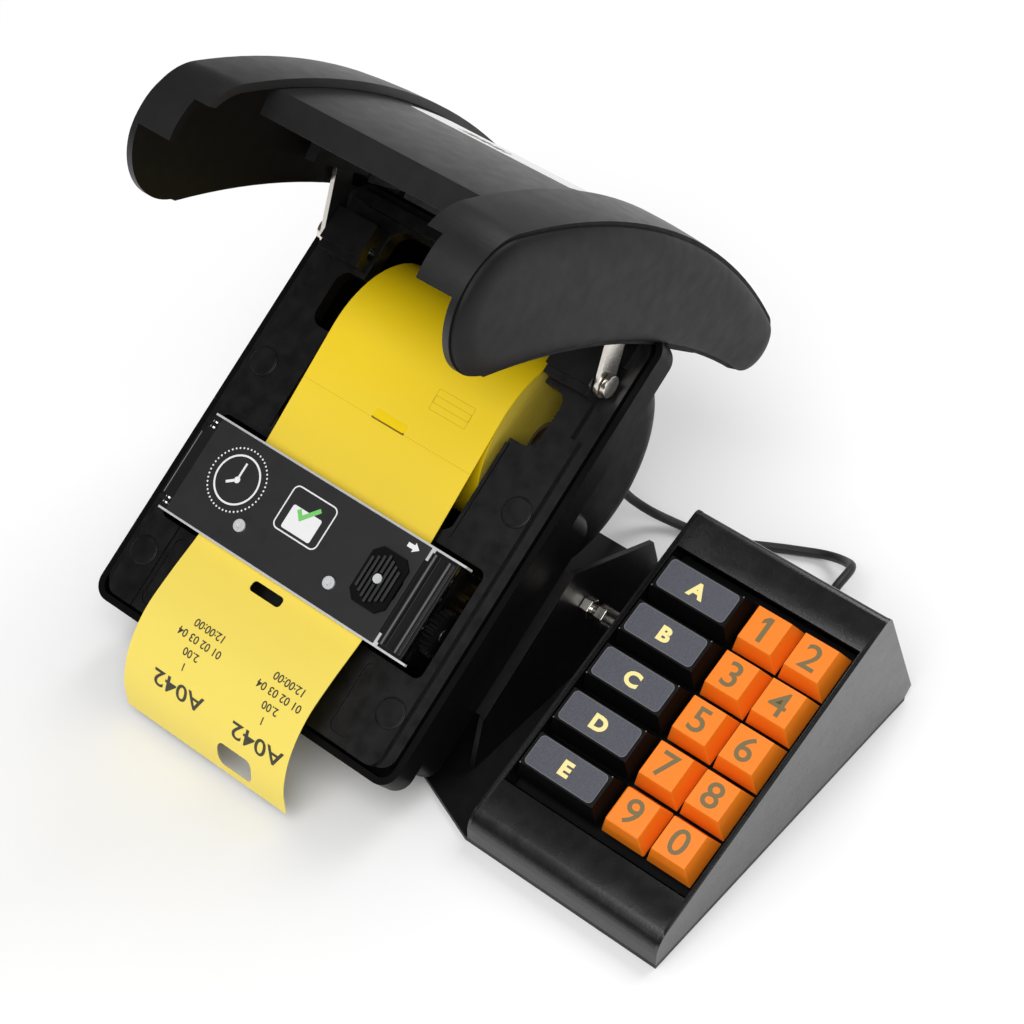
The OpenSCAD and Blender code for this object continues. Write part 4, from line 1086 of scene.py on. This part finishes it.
def soft_fold(bm, corner, low_deg, high_deg, radius, steps=8):
    """Rounds a fold along X, given its sharp line (y, z) and the ways out of its two faces."""
    half = (high_deg - low_deg) / 2
    step = 2 * half / steps
    middle = radians(low_deg + half)
    way = Vector((cos(middle), sin(middle)))
    centre = Vector(corner) - way * (radius / cos(radians(half)))
    for k in range(steps + 1):
        angle = radians(low_deg + 2 * half * k / steps)
        cut(bm, (0, centre.x * MM, centre.y * MM), (0, -sin(angle), cos(angle)), 1e-7)
    bm.normal_update()
    moves = {}
    loose = set()
    for v in bm.verts:
        reach = Vector((v.co.y, v.co.z)) / MM - centre
        off = degrees(atan2(reach.x * -way.y + reach.y * way.x, reach.dot(way)))
        if abs(off) < half + 0.05 and reach.length > radius:
            from_top = abs(off + low_deg + half - KEY_SLOPE - 90) / (2 * half)
            proud = CASE_LIP * (1 - from_top) if any(on_lip(f) for f in v.link_faces) else 0
            moves[v] = centre + reach * min(1, (radius + proud) / reach.length)
            if abs((off + half) / step - round((off + half) / step)) > 0.02:
                loose.add(v)
    for v, place in moves.items():
        v.co.y, v.co.z = place.x * MM, place.y * MM
    along = [e for e in bm.edges
             if all(v in moves for v in e.verts) and abs(e.verts[0].co.x - e.verts[1].co.x) > 1e-4]
    for e in along:
        e.smooth = True
    bmesh.ops.dissolve_edges(bm, edges=[e for e in along if loose.issuperset(e.verts)], use_verts=True)


class TICKET_OT_keypad(Operator):
    """Coat the keypad's case, round its folds and dress what is under its keys"""

    bl_idname = "ticket_printer.keypad"
    bl_label = "Keypad Case"

    def execute(self, context):
        bm = merged("keypad_case")
        for x in (CASE_X0 + CASE_LIP_W, CASE_X1 - CASE_LIP_W):
            cut(bm, (x * MM, 0, 0), (1, 0, 0), 1e-6)
        top = KEY_SLOPE + 90
        soft_fold(bm, (CASE_FRONT, case_top(CASE_FRONT)), top, 180, sizes().fold_round)
        soft_fold(bm, (CASE_REAR, case_top(CASE_REAR)), 90 - degrees(case_lean()), top,
                  sizes().rear_fold_round)
        round_edges(bm, 0.4, angle=40)
        formed("keypad_case", bm, paint("powder_coat"))
        dress(
            ("keypad_base", "dark_plate", 0.2), ("key_plate", "dark_plate", 0.1),
            ("key_switches", "switch_body", 0.1), ("keypad_board", "board_mask", 0),
        )
        return {"FINISHED"}


def key_top(node):
    """Middle of a keycap's top face in the keys' frame, in mm."""
    back = KEYS.inverted()
    points = [back @ v.co for v in frame["nodes"][node].data.vertices]
    high = max(p.z for p in points)
    return Vector(middle([p for p in points if p.z > high - 0.05]) + [high])


def flagged_one(height, depth):
    """Digit one: an upright with a short flag."""
    x, y, stroke, reach = 0.11 * height, height / 2, 0.19 * height, 0.36 * height
    return prism([(x - stroke, -y), (x, -y), (x, y), (x - stroke, y), (x - reach, y - 0.16 * height),
                  (x - reach, y - 0.34 * height), (x - stroke, y - 0.22 * height)], 0, depth)


def inlay_line(grow, radius):
    """Outline of a letter key's inlay, made larger by grow."""
    return round_rect(INLAY_X[0] - grow, INLAY_X[1] + grow, INLAY_Y[0] - grow, INLAY_Y[1] + grow, radius)


def set_on_key(node, what, bm, finish_name, lift=0.0):
    """Piece on a key's top face, riding with the key."""
    mesh = to_mesh(bm)
    mesh.transform(Matrix.Translation(key_top(node) + Vector((0, 0, lift))))
    piece(node + what, mesh, KEYS, paint(finish_name), body_of(node))


class TICKET_OT_letter_keys(Operator):
    """Make the wide letter keys with their textured inlays and painted glints round them"""

    bl_idname = "ticket_printer.letter_keys"
    bl_label = "Letter Keys"

    def execute(self, context):
        for letter in "abcde":
            node = "letter_key_" + letter
            dress((node, "black_cap", sizes().cap_round, 3))
            set_on_key(node, "_inlay", prism(inlay_line(0, 1.6), *INLAY_Z), "key_inlay")
            sign = lettering(letter.upper(), sizes().letter_height, LETTER_BOLD, SIGN_T, sizes().letter_width)
            set_on_key(node, "_sign", sign, "letter_ink", LETTER_LIFT)
            # Painted highlights: a pale line round each inlay and two pale dots at its corners
            rim_glint = band(inlay_line(0.1, 1.7), inlay_line(-0.15, 1.5), *RIM_GLINT_Z)
            take(rim_glint, repeated(paint("cap_pip"), Count=2, Start=GLINT_AT, Pitch=GLINT_APART, Size=GLINT_SIZE,
                               Round=True))
            set_on_key(node, "_pips", rim_glint, "cap_pip")
        return {"FINISHED"}


class TICKET_OT_digit_keys(Operator):
    """Make the square orange keys with their digits"""

    bl_idname = "ticket_printer.digit_keys"
    bl_label = "Digit Keys"

    def execute(self, context):
        height = sizes().digit_height
        for digit in "1234567890":
            node = "digit_key_" + digit
            dress((node, "orange_cap", sizes().cap_round, 3))
            if digit == "1":
                sign = flagged_one(height, SIGN_T)
            else:
                sign = lettering(digit, height, DIGIT_BOLD, SIGN_T, sizes().digit_width)
            set_on_key(node, "_sign", sign, "digit_ink", DIGIT_LIFT)
        return {"FINISHED"}


# Stage

FLOOR_HALF, FLOOR_TONE = 6, 0.96
FILL_LIGHT, GLOSS_LIGHT, SEEN_LIGHT = 0.41, 0.07, 1.0
# Name, place, aim, size and power
LAMPS = (
    ("front_softbox", (0.45, -1.05, 1.7), (0.05, 0.05, 0.05), 1.7, 29.0),
    ("rear_softbox", (0.1, 1.45, 1.6), (0.05, 0.1, 0.05), 1.3, 18.0),
)


class TICKET_OT_stage(Operator):
    """Lay the pale floor and set soft studio light"""

    bl_idname = "ticket_printer.stage"
    bl_label = "Stage"

    def execute(self, context):
        self.floor()
        self.lamps()
        self.world(context)
        context.scene.view_settings.view_transform = "Standard"
        return {"FINISHED"}

    def floor(self):
        bm = bmesh.new()
        bmesh.ops.create_grid(bm, x_segments=1, y_segments=1, size=FLOOR_HALF)
        mesh = to_mesh(bm, "floor")
        material = bpy.data.materials.new("pale_floor")
        material.use_nodes = True
        fill(material.node_tree.nodes["Principled BSDF"], Base_Color=(FLOOR_TONE, FLOOR_TONE, FLOOR_TONE, 1),
             Roughness=0.8, Specular_IOR_Level=0.1)
        mesh.materials.append(material)
        floor = placed("floor", mesh)

    def lamps(self):
        for name, place, aim, size, power in LAMPS:
            lamp = bpy.data.lights.new(name, "AREA")
            lamp.shape = "SQUARE"
            lamp.size = size
            lamp.energy = power
            holder = placed(name, lamp)
            holder.location = place
            holder.rotation_euler = (Vector(aim) - Vector(place)).to_track_quat("-Z", "Y").to_euler()

    def world(self, context):
        """White room that lights matt faces, shows in gloss and is seen by the camera at three levels."""
        world = bpy.data.worlds.new("pale_room")
        world.use_nodes = True
        tree = world.node_tree
        fill, gloss, white = (
            add_node(tree, "ShaderNodeBackground", Color=(1, 1, 1, 1), Strength=strength).outputs[0]
            for strength in (FILL_LIGHT, GLOSS_LIGHT, SEEN_LIGHT)
        )
        seen = fill
        for ray, other in (("Is Glossy Ray", gloss), ("Is Camera Ray", white)):
            mix = tree.nodes.new("ShaderNodeMixShader")
            link(tree, tree.nodes.new("ShaderNodeLightPath"), ray, mix, "Fac")
            tree.links.new(seen, mix.inputs[1])
            tree.links.new(other, mix.inputs[2])
            seen = mix.outputs[0]
        tree.links.new(seen, tree.nodes["World Output"].inputs["Surface"])
        context.scene.world = world


# Panel and registration

STEPS = (
    TICKET_OT_camera, TICKET_OT_cord, TICKET_OT_stand, TICKET_OT_shells, TICKET_OT_lid, TICKET_OT_paper,
    TICKET_OT_cover, TICKET_OT_latch, TICKET_OT_mechanism, TICKET_OT_keypad, TICKET_OT_letter_keys,
    TICKET_OT_digit_keys, TICKET_OT_stage,
)


class TICKET_PT_panel(Panel):
    bl_label = "Ticket Printer"
    bl_idname = "TICKET_PT_panel"
    bl_space_type = "VIEW_3D"
    bl_region_type = "UI"
    bl_category = "Ticket Printer"

    def draw(self, context):
        for group in (context.scene.ticket_printer_sizes, context.scene.ticket_printer_colours):
            for name in group.__annotations__:
                self.layout.prop(group, name)
        for step in STEPS:
            self.layout.operator(step.bl_idname)


CLASSES = (TicketPrinterColours, TicketPrinterSizes, *STEPS, TICKET_PT_panel)


def register():
    for cls in CLASSES:
        bpy.utils.register_class(cls)
    bpy.types.Scene.ticket_printer_colours = PointerProperty(type=TicketPrinterColours)
    bpy.types.Scene.ticket_printer_sizes = PointerProperty(type=TicketPrinterSizes)


def unregister():
    del bpy.types.Scene.ticket_printer_sizes
    del bpy.types.Scene.ticket_printer_colours
    for cls in reversed(CLASSES):
        bpy.utils.unregister_class(cls)


def main():
    register()
    for step in STEPS:
        group, name = step.bl_idname.split(".")
        getattr(getattr(bpy.ops, group), name)()


if __name__ == "__main__":
    main()
